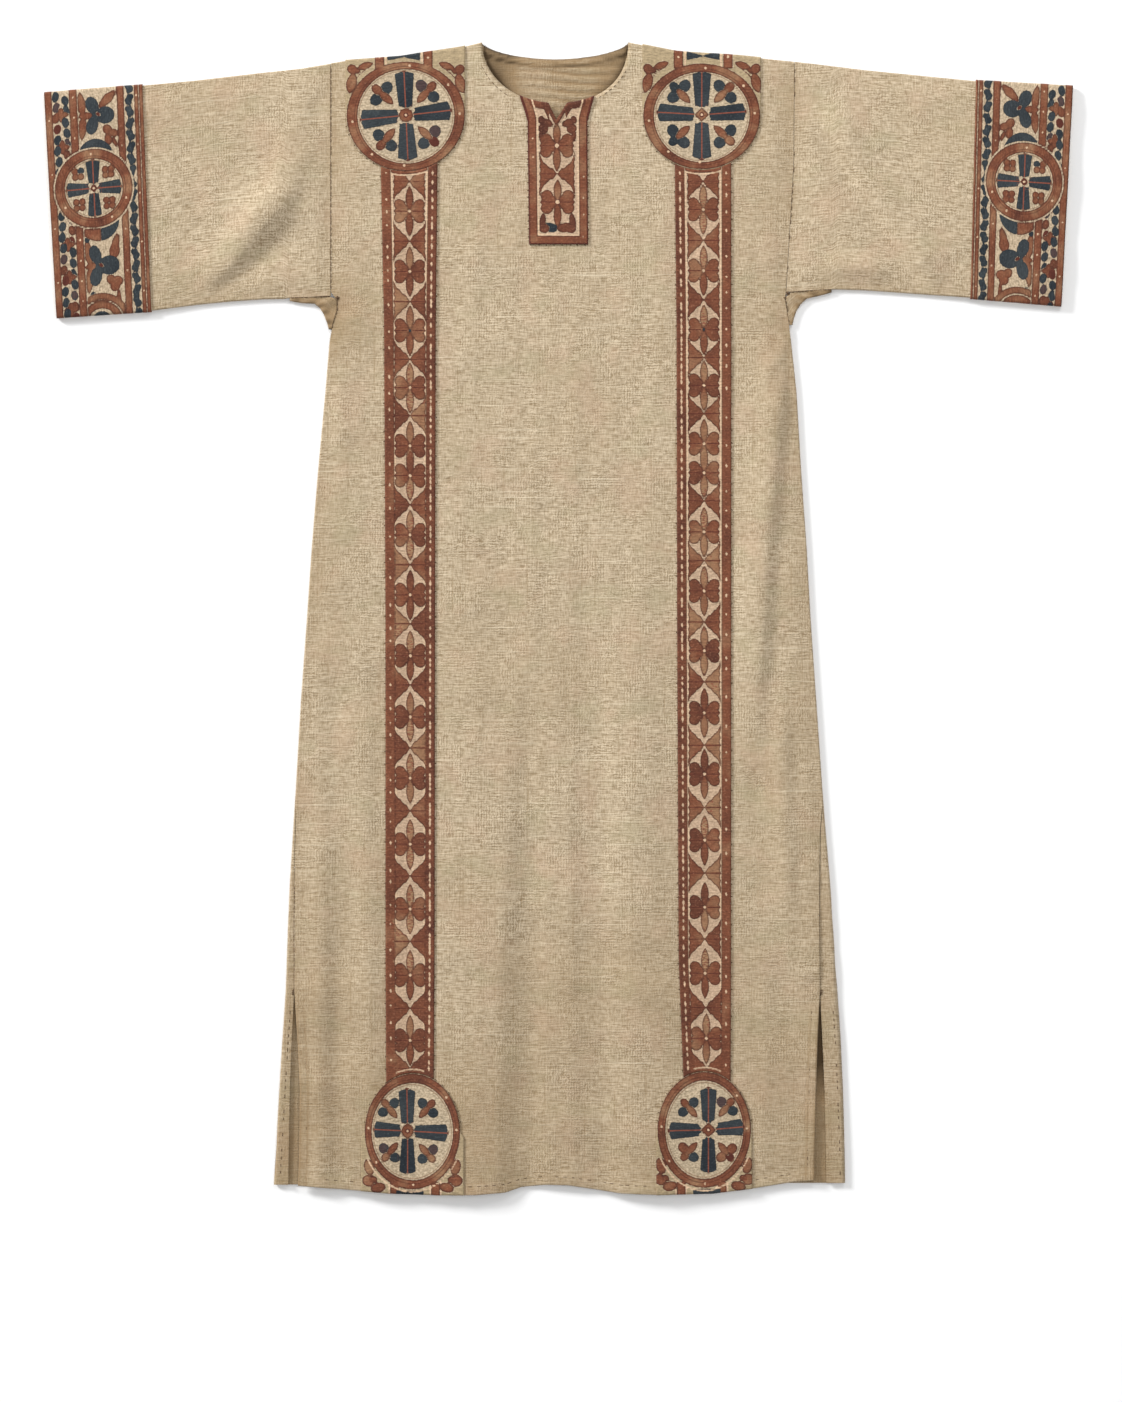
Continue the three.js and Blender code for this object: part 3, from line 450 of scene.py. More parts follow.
def undyed_tabby():
    """Hand-spun undyed linen and wool, woven coarsely: matt and slubby, darkened by a little soiling
    and by painted shade.

    The threads are about 1 mm apart. They are drawn 1.6 mm apart, so that they show.
    """
    material, tree, surface = plain_material("undyed_tabby", {
        "Roughness": 0.92, "Specular IOR Level": 0.2, "Sheen Weight": 0.12, "Sheen Roughness": 0.6})
    chart = add(tree, "ShaderNodeUVMap", uv_map="cloth")
    made = noises(tree, chart, (
        ("weft", 85, 620, 4.0), ("warp", 560, 130, 4.0), ("slub", 9, 430, 2.0),
        ("dark_end", 330, 8, 2.0), ("cloud", 7, 6, 4.0), ("pinkish", 19, 16, 4.0),
        ("greenish", 15, 23, 4.0), ("fleck", 230, 300, 1.0), ("across_parts", 26, 30, 3.0),
        ("down_parts", 30, 24, 3.0)))
    warp = add(tree, "ShaderNodeMath", {0: made["warp"], 1: 0.7, 2: 0.15}, operation="MULTIPLY_ADD")
    weave = add(tree, "ShaderNodeMath", {0: made["weft"], 1: warp}, operation="ADD")
    for direction, parts in (("Y", "across_parts"), ("X", "down_parts")):
        lines = add(tree, "ShaderNodeTexWave", {
            "Vector": chart, "Scale": 105.0, "Distortion": 7.0, "Detail": 3.0, "Detail Scale": 2.4},
            bands_direction=direction)
        seen = add(tree, "ShaderNodeMapRange", {
            "Value": made[parts], "From Min": 0.46, "From Max": 0.64, "To Min": 0.0, "To Max": 0.26})
        raised = add(tree, "ShaderNodeMath", {0: lines, 1: -0.5}, operation="ADD")
        weave = add(tree, "ShaderNodeMath", {0: raised, 1: seen, 2: weave}, operation="MULTIPLY_ADD")
    wear_shade_field = add(tree, "ShaderNodeAttribute", output="Fac", attribute_name="wear_and_shade")
    uneven = add(tree, "ShaderNodeMapRange", {
        "Value": made["cloud"], "From Min": 0.3, "From Max": 0.7, "To Min": 0.45, "To Max": 1.3})
    wear_shade_amount = add(tree, "ShaderNodeMath", {0: wear_shade_field, 1: uneven}, operation="MULTIPLY")
    colour = laid_over(tree, linear("#917D60"), (
        (weave, 0.77, 1.23, 1.0, "#D1BFA3"),
        (made["slub"], 0.60, 0.72, 0.6, "#DDCEB3"),
        (made["dark_end"], 0.60, 0.74, 0.4, "#8F7857"),
        (made["cloud"], 0.45, 0.68, 0.28, "#A38D6D"),
        (made["pinkish"], 0.52, 0.66, 0.26, "#BC9C82"),
        (made["greenish"], 0.54, 0.68, 0.30, "#A39A78"),
        (made["fleck"], 0.70, 0.78, 0.6, "#7C6242"),
        # up to 1 the attribute lays on soiling and painted shade
        (wear_shade_amount, 0.0, 1.0, 0.85, "#8C7250"),
        # above 1 a deep brown: painted shadow in the slits and the neck opening, and the gussets'
        # darkest bands
        (wear_shade_amount, 1.0, 2.0, 0.85, "#3A2912")))
    relief = add(tree, "ShaderNodeBump", {"Height": weave, "Strength": 0.7, "Distance": 0.0009})
    tree.links.new(colour, surface.inputs["Base Color"])
    tree.links.new(relief, surface.inputs["Normal"])
    return material


tabby = undyed_tabby()
front.data.materials.append(tabby)
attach(front, "root")
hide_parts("front")

# ---------- Back panel ----------
# The lower layer, of the same cloth. It lies on its outer face. Below the hips it is wider than
# the front, so it comes round both edges as a strip with the side seams and the slits on it.

BACK_NECK_HEM = 8.0
CENTRE_BACK = -3               # place of the short seam in the middle of the back neck


def back_neckline(x):
    """Height of the edge of the neck opening at the back."""
    return neckline(x, BACK_NECK_DEPTH, 1.8, 1.8)


back_x = np.concatenate([np.arange(-230, -94, 9.0), np.arange(-90, 86, 3.0), np.arange(92, 238, 9.0)])
back_y = np.concatenate([np.arange(627, 570, -2.2), np.arange(566, 540, -5.0),
                         np.arange(532, -616, -9.0)])
x, y, up, height, from_left, from_right = body_grid(-1, back_x, back_y)
keep = cut_neck(x, y, back_neckline)
edge = from_neck(x, y, back_neckline)
past_front, from_centre = y - front_neckline(x), np.abs(x - NECK_CENTRE)
wrinkle = np.sin(y * 0.62 + 0.9 * np.sin(x / 17) + x * 0.03) * (0.5 + 0.5 * np.sin(x / 29 + 1))
centre_back = bell(x - CENTRE_BACK, 1.1) * smooth(28, 6, edge)
neck_relief = 1.5 * turned_hem(edge, BACK_NECK_HEM) + 0.9 * wrinkle * smooth(8, 13, edge)
in_opening = smooth(-1, 9, past_front) * (from_centre < NECK_HALF_WIDTH)
z = MID_EDGE + np.maximum(height - MID_EDGE, -up)
z += in_opening * (0.5 + neck_relief - 0.5 * centre_back)

# inside the opening: darker all over, with painted shade in hem groove, edge, seam and wrinkle troughs
neck_line_shade = 1.2 * bell(edge - BACK_NECK_HEM + 0.2, 1.6) + 1.2 * fading(edge, 1.4) + 0.9 * centre_back
# painted shadow of the front's edge, deepest towards the corners of the opening
neck_corner_shadow = smooth(32, 68, from_centre) * (0.9 + 1.8 * fading(np.maximum(past_front, 0), 10))
inside = smooth(-5, -1, past_front) * (from_centre < NECK_HALF_WIDTH + 3)
from_edge = np.minimum(*(np.abs(x - edge_x) for edge_x in body_edges(y)[:2]))
# under the slits: painted shade along the strip's edge and crease
strip_line_shade = 0.5 * (fading(from_edge, 2) + bell(from_edge - 8.5, 1.2))
# painted shadow in the slits, deepest low on the right
slit_shadow = smooth(50, 36, from_edge) * np.where(x < 0, 0.4, 0.5 + 1.9 * smooth(-560, -500, y))
under_slit = smooth(SLIT_TOP - 4, SLIT_TOP - 20, y) * (z < MID_EDGE)
under_slit = under_slit * smooth(9, 15, np.minimum(from_left, from_right))
wear_and_shade = 0.3 * smooth(HIPS, BODY_BOTTOM, y) + 0.35 * (fading(from_left, 30) + fading(from_right, 30))
wear_and_shade += inside * (0.85 + neck_line_shade + 0.7 * np.clip(-wrinkle, 0, 1) + neck_corner_shadow)
wear_and_shade += under_slit * (strip_line_shade + slit_shadow)
points, wear_and_shade = np.stack([x, y, np.maximum(z, 0)], axis=2)[:, ::-1], wear_and_shade[:, ::-1]
back = cloth_mesh("back_panel", points, points[:, :, :2].copy(), {"wear_and_shade": wear_and_shade}, keep[:, ::-1])
back.data.materials.append(tabby)
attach(back, "root")
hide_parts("back")

# ---------- Sleeves ----------
# Two tubes of the same tabby, sewn to the armholes with a dark running thread and pressed flat,
# fold at the top and seam underneath. Each creases from the underarm up to the shoulder.

SLEEVES = {                    # distance out, top y, under out, under y, short of it, raised
    "left": np.array([
        (246, 627.6, 246, 364.4, 5, 0), (287.8, 620.5, 287.8, 362.0, 5, 0),
        (306, 618.3, 303.5, 361.4, 5, 0), (312, 617.8, 309.5, 360.3, 0, 0),
        (337, 615.1, 334, 359.9, 0, 0), (373, 610.9, 368, 357.6, 0, 0),
        (410, 606.5, 404, 354.1, 0, 0), (469, 600.9, 459, 347.0, 0, 1.4),
        (525, 596.6, 513, 343.5, 0, 1.4), (580, 591.9, 566, 339.9, 0, 1.4)]),
    "right": np.array([
        (246, 630.2, 246, 367.2, 5, 0), (290.6, 625.2, 287, 370.0, 5, 0),
        (309, 622.9, 308.5, 371.0, 5, 0), (316, 622.1, 314.5, 371.0, 0, 0),
        (347, 618.3, 343, 370.2, 0, 0), (378, 615.2, 373, 368.2, 0, 0),
        (409, 612.1, 403, 366.0, 0, 0), (470.6, 605.9, 464.4, 361.7, 0, 1.4),
        (525.5, 602.7, 516, 357.4, 0, 1.4), (580, 599.5, 567, 353.1, 0, 1.4)])}
SIDES = {"left": -1, "right": 1}
ARMHOLE_BOTTOM = 366
SLEEVE_END = 580


def body_side(side, y):
    """Place across of the body's outer edge on one side, at a height."""
    return read(BODY_EDGES, y, 1 if side == "left" else 2)


def armhole(side, y):
    """Distance out of the armhole seam at a height."""
    return np.abs(body_side(side, np.maximum(y, ARMHOLE_BOTTOM)))


def sleeve_surface(side, out, columns):
    """Outer face of a sleeve at distances out, round it from the under seam by its columns."""
    table = SLEEVES[side]
    top = np.stack([read(table, out, 0), read(table, out, 1)], axis=-1)
    under = np.stack([read(table, out, 2), read(table, out, 3)], axis=-1)
    gap = read(table, out, 4)
    direction = top - under
    direction /= np.linalg.norm(direction, axis=-1, keepdims=True)
    under = under - direction * gap[..., None]
    width = np.linalg.norm(top - under, axis=-1)
    one_side = walk_over(width)
    start = walk_to(gap) + SEAM / 2
    first, last = start + SEAM_WALKS[-1], one_side - SEAM_WALKS[-1]
    kind, value = columns
    walk = np.choose(kind, [start + value, first + (last - first) * value, one_side + value,
                            one_side + SEAM_WALKS[-1] + (last - first) * value,
                            2 * one_side - start - value])
    across, height, on_top = around(width, walk)
    x = under[..., 0] + direction[..., 0] * across
    y = under[..., 1] + direction[..., 1] * across
    from_under, from_armhole = across - gap, x - armhole(side, y)
    from_seam = np.minimum(np.minimum(from_under, width - across), np.maximum(from_armhole, 0))
    rise = np.where(on_top, loft(SIDES[side] * x, y, np.maximum(from_seam, 0)), 0)
    z = height + read(table, out, 5) + rise
    return np.stack([SIDES[side] * x, y, z], axis=-1), walk, one_side, across, width


def sleeve_columns(upper_count, lower_count):
    """Kinds and values of a sleeve's columns, from the under seam over the top and back below.

    The kinds are walks from the seam, shares of the upper layer, walks round the top edge,
    shares of the lower layer and walks up to the seam again.
    """
    upper, lower = ((np.arange(count) + 0.5) / count for count in (upper_count, lower_count))
    turn = np.concatenate([-SEAM_WALKS[::-1], SEAM_WALKS[1:]])
    parts = [SEAM_WALKS, upper, turn, lower, SEAM_WALKS[::-1]]
    return np.repeat(range(len(parts)), [len(part) for part in parts]), np.concatenate(parts)


def out_from(side, shares, columns):
    """Distances out for rows from the armhole seam, found by stepping back what x overshoots."""
    share = shares[:, None] * np.ones(len(columns[0]))
    out = np.full(share.shape, 262.0)
    for _ in range(3):
        points = sleeve_surface(side, out, columns)[0]
        out = out + armhole(side, points[..., 1]) + SEAM - np.abs(points[..., 0])
    return out + (SLEEVE_END - out) * share


def mirrored(side, grid):
    """Rows in the order that keeps the face outwards on this side."""
    return grid[::-1] if side == "left" else grid


sleeve_rows = np.concatenate([[0, .0015, .004, .008, .014, .021, .03],
                              np.linspace(.042, .985, 68), [.99, .995, 1]])
for side in SIDES:
    columns = sleeve_columns(50, 22)
    out = out_from(side, sleeve_rows, columns)
    points, walk, one_side, across, width = sleeve_surface(side, out, columns)
    chart = np.stack([points[..., 0], 360 + walk], axis=-1)
    along = np.abs(points[..., 0]) - armhole(side, points[..., 1])
    wear_and_shade = 0.3 * fading(along, 5) + 0.3 * fading(across, 14) + 0.2 * fading(width - across, 8)
    sleeve = cloth_mesh("sleeve_cloth_" + side, mirrored(side, points), mirrored(side, chart),
                        {"wear_and_shade": mirrored(side, wear_and_shade)})
    sleeve.data.materials.append(tabby)
    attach(sleeve, "root")
    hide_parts("sleeve_" + side)

# ---------- Underarm gussets ----------
# A small folded piece of the same cloth let into each underarm, between sleeve and side.

GUSSETS = {                    # fold x, y, then the seam that it is let into, x, y
    "left": np.array([
        (-303, 358.0, -303, 361.4), (-290, 355.7, -287.8, 362.0), (-275, 354.9, -259, 363.4),
        (-269.1, 349.8, -249.6, 360.2), (-264.8, 343, -249.2, 348), (-260.8, 332.5, -254.2, 333),
        (-259.2, 326, -255.6, 326)]),
    "right": np.array([
        (308, 367.6, 308, 371.0), (291.7, 363.3, 287, 370.0), (280.3, 360.8, 262, 368.2),
        (273, 354.3, 255.6, 361.5), (268.2, 346.5, 257.6, 348), (265.2, 337, 259.4, 337),
        (263.8, 331, 260.2, 331)])}

for side in SIDES:
    table = GUSSETS[side]
    place = np.linspace(0, len(table) - 1, 37)
    edge_x, edge_y, seam_x, seam_y = (
        np.interp(place, range(len(table)), column)[:, None] for column in table.T)
    wide = np.hypot(seam_x - edge_x, seam_y - edge_y)
    share = np.linspace(-1, 1, 25)
    walk = np.sign(share) * np.abs(share) ** 1.2 * walk_to(wide - SEAM)
    inset, up = edge_inset(np.abs(walk)), np.sign(walk) * edge_up(np.abs(walk))
    ripple = np.sin(place * 2.9)[:, None]
    points = np.stack([edge_x + (seam_x - edge_x) / wide * inset,
                       edge_y + (seam_y - edge_y) / wide * inset,
                       MID_EDGE + up + 0.8 * ripple * smooth(3, 8, inset) * (walk > 0)], axis=-1)
    if side == "right":
        points = points[::-1]
    chart = np.stack([points[..., 0], points[..., 1] + walk], axis=-1)
    gusset = cloth_mesh("gusset_cloth_" + side, points, chart,
                        {"wear_and_shade": 0.85 + 0.8 * ripple ** 2 * smooth(11, 2, inset)})
    gusset.data.materials.append(tabby)
    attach(gusset, "root")
    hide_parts("gusset_" + side)

# ---------- Neck panel ----------
# A narrow panel of weft-faced wool tapestry, sewn on below the neck and cut to its notch: a red
# border round a cream ground with two four-petalled flowers and half-leaves between them.

TAPESTRY = 1.1                 # wall of the tapestry
DYED_HIGHER = 0.22             # how much the dyed parts stand over the undyed ground
COLOURS = ("madder", "dark", "indigo", "pale")      # each lies over the ones before it
AWAY_FROM_ALL = {"madder": -9, "dark": -9, "indigo": -9, "pale": -9,
                 "tone": 0.8, "vein": 9, "ring": -FAR}     # the fields of plain undyed ground
shade_source = np.random.default_rng(11)


class Weaving:
    """A tapestry design over places in mm: the depth inside each colour's areas, a tone that is
    lighter above 0 and darker below, and signed distances from veins and from a ring's inner edge."""

    def __init__(self, x, y, fields=None):
        self.x, self.y = x, y
        self.fields = fields or {name: np.full(x.shape, float(rest))
                                 for name, rest in AWAY_FROM_ALL.items()}

    def near(self, y, reach):
        """The rows of the design that lie within reach of a height, as a design of their own."""
        rows = np.flatnonzero(np.abs(self.y - y).min(axis=1) < reach)
        rows = slice(rows[0], rows[-1] + 1)
        fields = {name: one[rows] for name, one in self.fields.items()}
        return Weaving(self.x[rows], self.y[rows], fields)

    def weave(self, colour, inside, tone=None):
        """Weaves a colour, or the undyed ground, where inside is positive."""
        rank = COLOURS.index(colour) if colour in COLOURS else -1
        for other, name in enumerate(COLOURS):
            field = self.fields[name]
            if other == rank:
                np.maximum(field, inside, out=field)
            elif other > rank:
                np.minimum(field, -inside, out=field)
        tone = shade_source.normal(0, 0.22) if tone is None else tone
        np.copyto(self.fields["tone"], tone, where=inside > 0)

    def at(self, x, y, angle=0.0):
        """Places along and aside from a centre, with the first axis turned by so many degrees."""
        cosine, sine = np.cos(np.radians(angle)), np.sin(np.radians(angle))
        across, up = self.x - x, self.y - y
        return across * cosine + up * sine, up * cosine - across * sine

    def oval(self, colour, x, y, half_u, half_v, angle=0.0, tone=None, within=FAR):
        """Weaves an oval about a centre."""
        self.weave(colour, np.minimum(oval(*self.at(x, y, angle), half_u, half_v), within), tone)

    def leaf(self, colour, x, y, half_u, half_v, angle=0.0, tone=None, within=FAR):
        """Weaves a pointed oval about a centre."""
        self.weave(colour, np.minimum(lens(*self.at(x, y, angle), half_u, half_v), within), tone)

    def lobes(self, x, y, way, rows, within=FAR):
        """Weaves red ovals from rows of out, up, half-sizes, turned by and tone; -1 mirrors them."""
        for out, up, half_u, half_v, angle, tone in rows:
            self.oval("madder", x + way * out, y + up, half_u, half_v, way * angle, tone, within)


def oval(u, v, half_u, half_v):
    """Depth inside an oval: one less the scaled distance from its centre, times the lesser half."""
    return (1 - np.hypot(u / half_u, v / half_v)) * np.minimum(half_u, half_v)


def lens(u, v, half_length, half_width):
    """Depth inside a pointed oval, where two circles overlap."""
    radius = (half_length ** 2 + half_width ** 2) / (2 * half_width)
    return radius - np.hypot(u, np.abs(v) + radius - half_width)


def facets(u, v, corners):
    """Depth inside a shape with straight sides and corners given anticlockwise."""
    depth = np.full(np.shape(u), FAR)
    for (u0, v0), (u1, v1) in zip(corners, corners[1:] + corners[:1]):
        side = (u1 - u0) * (v - v0) - (v1 - v0) * (u - u0)
        depth = np.minimum(depth, side / np.hypot(u1 - u0, v1 - v0))
    return depth


def band(distance, half):
    """Depth inside a band of a half-width, from the distance to its middle."""
    return half - np.abs(distance)


def flower(design, x, y, reach, tall, up, down, tones, dot="pale"):
    """Two side petals of two lobes with a cusp between them, two pointed petals and a dot."""
    for rise, run, tone in ((1, up, tones[0]), (-1, down, tones[1])):
        design.leaf("madder", x, y + rise * run / 2, run / 2, 4.6, 90, tone)
    for side, tone in ((-1, tones[2]), (1, tones[3])):
        out, v = design.at(x, y)
        out = side * out
        petal = lens(out - reach / 2, v, reach / 2 + 0.4, 5.5)
        for rise in (1, -1):
            a, b = design.at(x + side * reach * 0.62, y + rise * tall * 0.53, side * rise * 50)
            petal = np.maximum(petal, oval(a, b, tall * 0.53, reach * 0.36))
            a, b = design.at(x + side * reach * 0.36, y + rise * tall * 0.34, side * rise * 42)
            petal = np.maximum(petal, oval(a, b, reach * 0.36, 4.0))
        design.weave("madder", petal, tone)
        design.weave("dark", np.minimum(band(v, 0.5), np.minimum(petal - 0.4, out - 2.5)), 0)
    design.oval(dot, x, y, 1.6, 1.8, tone=0)


def half_leaves(design, x, y, reach, tip_up, tip_down, tones, within=FAR, slope=0.78):
    """Two half-leaves that meet at a point. They widen in lobes as they go out, then rise steeply
    to tips along the border, where their edge is scalloped."""
    u, v = design.at(x, y)
    for side, tone in ((-1, tones[0]), (1, tones[1])):
        out = side * u
        share = np.clip(out / reach, 0, 1.1)
        tip = np.where(v > 0, tip_up, tip_down)
        lobes = 1.2 * np.sin(share * 2.5 * np.pi) ** 2 * smooth(0.05, 0.3, share)
        rise = 0.4 + 2.4 * smooth(0, 4.5, out) + slope * out + lobes
        leaf = (rise + (tip - slope * reach - 2.8) * share ** 5 - np.abs(v)) * 0.66
        scallop = 1.3 * np.abs(np.sin(v * np.pi / 8.5)) * smooth(22, 8, np.abs(v))
        leaf = np.minimum(np.minimum(leaf, out + 0.8), np.minimum(reach + 0.3 - scallop - out, within))
        design.weave("madder", leaf, tone)
        design.weave("dark", np.minimum(band(v, 0.5), np.minimum(leaf - 0.3, out - 1.0)), 0)


def on_front(x, y, up=2.0):
    """Places on the front's outer face, at the height of a shoulder's rounded edge where given."""
    return np.stack([x, y, MID_EDGE + up + front_lift(x, y) + front_hems(x, y)], axis=-1)


def woven_wool():
    """Dyed wool beaten down over linen warps: matt, ribbed across, its colours a little uneven.

    The ribs are about 0.8 mm apart. They are drawn 1.8 mm apart, so that they show.
    """
    material, tree, surface = plain_material("wool_tapestry", {
        "Roughness": 0.95, "Specular IOR Level": 0.15, "Sheen Weight": 0.1, "Sheen Roughness": 0.6})
    chart = add(tree, "ShaderNodeUVMap", uv_map="cloth")
    made = noises(tree, chart, (
        ("ribs", 150, 560, 2.0), ("speck", 430, 430, 3.0), ("cloud", 34, 30, 3.0),
        ("ragged", 280, 620, 1.0), ("hatch", 240, 700, 1.0)))
    field = {name: add(tree, "ShaderNodeAttribute", output="Fac", attribute_name=name)
             for name in AWAY_FROM_ALL}
    uneven = add(tree, "ShaderNodeMapRange", {
        "Value": made["cloud"], "From Min": 0.3, "From Max": 0.7, "To Min": -0.35, "To Max": 0.35})
    tone = add(tree, "ShaderNodeMath", {0: field["tone"], 1: uneven}, operation="ADD")
    light_parts = add(tree, "ShaderNodeMapRange", {"Value": tone, "From Min": 0.35, "From Max": 0.7})
    hatched = add(tree, "ShaderNodeMath", {0: light_parts, 1: made["hatch"]}, operation="MULTIPLY")
    madder = laid_over(tree, linear("#774630"), (
        (tone, 0.0, 1.0, 1.0, "#A38261"),
        (tone, 0.0, -1.0, 1.0, "#46251D"),
        (made["speck"], 0.56, 0.72, 0.35, "#A1755B"),
        (hatched, 0.47, 0.55, 0.8, "#7E4635"),
        (field["madder"], 1.9, 0.5, 0.75, "#46241B")))
    indigo = laid_over(tree, linear("#22292F"), (
        (tone, -0.5, 0.6, 1.0, "#393F42"),
        (made["speck"], 0.58, 0.74, 0.35, "#5B625F"),
        (tone, 0.8, 1.1, 0.9, "#4A3836"),
        (field["indigo"], 1.2, 0.2, 0.5, "#191D22")))
    # fine lines: the red vein in each arm, a line just within a ring and a groove along its middle
    off_vein = add(tree, "ShaderNodeMath", {0: field["vein"]}, operation="ABSOLUTE")
    vein = add(tree, "ShaderNodeMath", {0: 0.7, 1: off_vein}, operation="SUBTRACT")
    red_vein = add(tree, "ShaderNodeMath", {0: vein, 1: field["indigo"]}, operation="MINIMUM")
    within_ring = add(tree, "ShaderNodeMath", {0: field["ring"], 1: -1.5}, operation="ADD")
    off_line = add(tree, "ShaderNodeMath", {0: within_ring}, operation="ABSOLUTE")
    along_ring = add(tree, "ShaderNodeMath", {0: field["ring"], 1: 3.4}, operation="ADD")
    off_groove = add(tree, "ShaderNodeMath", {0: along_ring}, operation="ABSOLUTE")
    edge = add(tree, "ShaderNodeMath", {0: made["ragged"], 1: 1.3, 2: -0.65}, operation="MULTIPLY_ADD")
    edged = {name: add(tree, "ShaderNodeMath", {0: field[name], 1: edge}, operation="ADD")
             for name in COLOURS}
    colour = laid_over(tree, linear("#A59378"), (
        (made["speck"], 0.35, 0.65, 1.0, "#C4B196"),
        (field["tone"], 0.0, -1.0, 1.0, "#A39070"),
        (field["tone"], 0.0, 0.8, 0.55, "#BD9A80"),
        (edged["madder"], -0.3, 0.3, 1.0, madder),
        (off_groove, 0.8, 0.3, 0.5, "#4B251C"),
        (edged["dark"], -0.3, 0.3, 1.0, "#55291F"),
        (off_line, 0.75, 0.35, 0.6, "#7C5A42"),
        (edged["indigo"], -0.3, 0.3, 1.0, indigo),
        (red_vein, -0.2, 0.2, 0.9, "#884A38"),
        (edged["pale"], -0.3, 0.3, 1.0, "#CDAF90")))
    relief = add(tree, "ShaderNodeMath", {0: made["speck"], 1: 0.6, 2: made["ribs"]},
                 operation="MULTIPLY_ADD")
    shade = add(tree, "ShaderNodeMapRange", {
        "Value": relief, "From Min": 0.55, "From Max": 1.05, "To Min": 0.72, "To Max": 1.20})
    colour = add(tree, "ShaderNodeMix", {"Factor": 1.0, "A": colour, "B": shade},
                 data_type="RGBA", blend_type="MULTIPLY")
    bumps = add(tree, "ShaderNodeBump", {"Height": relief, "Strength": 0.55, "Distance": 0.0009})
    tree.links.new(colour, surface.inputs["Base Color"])
    tree.links.new(bumps, surface.inputs["Normal"])
    return material


wool = woven_wool()


def sew_on(name, node, places, design):
    """A tapestry piece over the cloth: its face stands off by seam and wall, dyed parts higher."""
    coloured = np.max([design.fields[colour] for colour in COLOURS], axis=0)
    proud = SEAM + TAPESTRY + DYED_HIGHER * smooth(-0.6, 0.9, coloured)
    points = places + thread_normals(places) * proud[..., None]
    chart = np.stack([design.x, design.y], axis=-1)
    piece = cloth_mesh(name, points, chart, design.fields, thickness=TAPESTRY)
    piece.data.materials.append(wool)
    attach(piece, "root")
    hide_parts(node)
    return piece


def places_between(low, high, step, *through):
    """Even steps of about a size from low to high that pass through every place given."""
    stops = [low, *through, high]
    parts = [np.linspace(a, b, max(int(round(abs(b - a) / step)), 1) + 1)[:-1]
             for a, b in zip(stops, stops[1:])]
    return np.concatenate([*parts, [high]])


NECK_PANEL = np.array([        # height, left, right
    (592, -44, 40.5), (578, -38.6, 36.2), (564, -34.8, 32.6), (421.5, -33.1, 33.3)])
PANEL_TOP, PANEL_FOOT = 592, 421.5
PANEL_BORDER = 9.9
PANEL_FLOWERS, PANEL_HALF_LEAVES = ((-1.9, 532.8), (-1.1, 469.3)), (-1.6, 501.0)
PANEL_TOP_LEAVES = (           # beside the notch: out, up, half-sizes, turned by, tone
    (12.0, 558.5, 7.5, 4.6, 20, -0.6), (16.0, 552, 6.0, 5.6, 60, -0.6),
    (18.6, 544, 6.5, 2.6, 90, -0.6), (18.5, 562, 4.6, 3.6, 110, -0.6))
PANEL_FOOT_LEAVES = (          # in the two lower corners, over a berry that is blue on the left
    (17.0, 446.5, 10.5, 3.8, 98, -0.45), (15.0, 439.5, 6.0, 5.4, 0, -0.45))
PANEL_DOTS = ((-28.5, 520), (-29.0, 541), (28.5, 498), (28.0, 474), (28.5, 455), (27.5, 430))

panel_x = places_between(NECK_PANEL[1, 1], NECK_PANEL[1, 2], 1.45, *NOTCH[:, 0])
share = (panel_x - panel_x[0]) / np.ptp(panel_x)
row_y = places_between(PANEL_TOP, PANEL_FOOT, 1.5, NOTCH[0, 1], NOTCH[1, 1], 532.8, 501, 469.3)
row_y = row_y[:, None]
left, right = read(NECK_PANEL, row_y), read(NECK_PANEL, row_y, 2)
x = left + (right - left) * share
x += (panel_x - x) * smooth(530, 556, row_y) * smooth(26, 14, np.abs(panel_x))
highest = np.minimum(front_neckline(x), PANEL_TOP - 0.4)
climb = (row_y - PANEL_FOOT) / (PANEL_TOP - PANEL_FOOT)
y = row_y - (PANEL_TOP - highest) * smooth(0.45, 1.0, climb) * climb
y[0] = highest[0]
design = Weaving(x, y)
from_side = np.minimum(x - read(NECK_PANEL, y), read(NECK_PANEL, y, 2) - x)
from_border = np.minimum(from_side, y - PANEL_FOOT)
near_top = from_neck(x, y, front_neckline)
along_top = np.where(np.abs(x + 1) > 9.5, near_top + 2.5, near_top + 6.5)
from_edge = np.minimum(from_border, along_top)
design.weave("madder", PANEL_BORDER - from_edge, 0.05)
design.weave("madder", np.minimum(PANEL_BORDER - along_top, from_side - PANEL_BORDER + 3), -0.5)
design.weave("dark", 1.6 - from_edge, 0)
design.weave("pale", band(from_border - PANEL_BORDER - 0.9, 0.9), 0)
field = np.minimum(from_border - PANEL_BORDER - 2.0, along_top - PANEL_BORDER)
for way in (-1, 1):
    design.lobes(-1.2, 0, way, PANEL_TOP_LEAVES, field)
    design.oval("pale", -1.2 + way * 12.5, 567.5, 3.6, 1.6, way * 30, 0, field)
for place in PANEL_FLOWERS:
    flower(design, *place, 19.5, 12.8, 26, 30, (0.25, -0.1, -0.05, -0.05))
    design.oval("dark", *place, 3.0, 3.0, tone=0)
    design.oval("pale", *place, 2.3, 2.3, tone=0)
half_leaves(design, *PANEL_HALF_LEAVES, 20.0, 23.5, 25.5, (-0.15, -0.15), field, 0.5)
for way, colour in ((-1, "indigo"), (1, "madder")):
    design.oval(colour, -1.1 + way * 9.0, 440.5, 10.0, 5.4, way * 8, -0.45, field)
    design.lobes(-1.1, 0, way, PANEL_FOOT_LEAVES, field)
for spot in PANEL_DOTS:
    design.oval("pale", *spot, 0.9, 1.3, tone=0)
sew_on("neck_tapestry", "neck_panel", on_front(x, y), design)

# ---------- Clavi ----------
# The two long stripes that run from the shoulder roundels to the hem roundels: red flowers and
# half-leaves on cream between two narrow borders with a line of pale dashes.

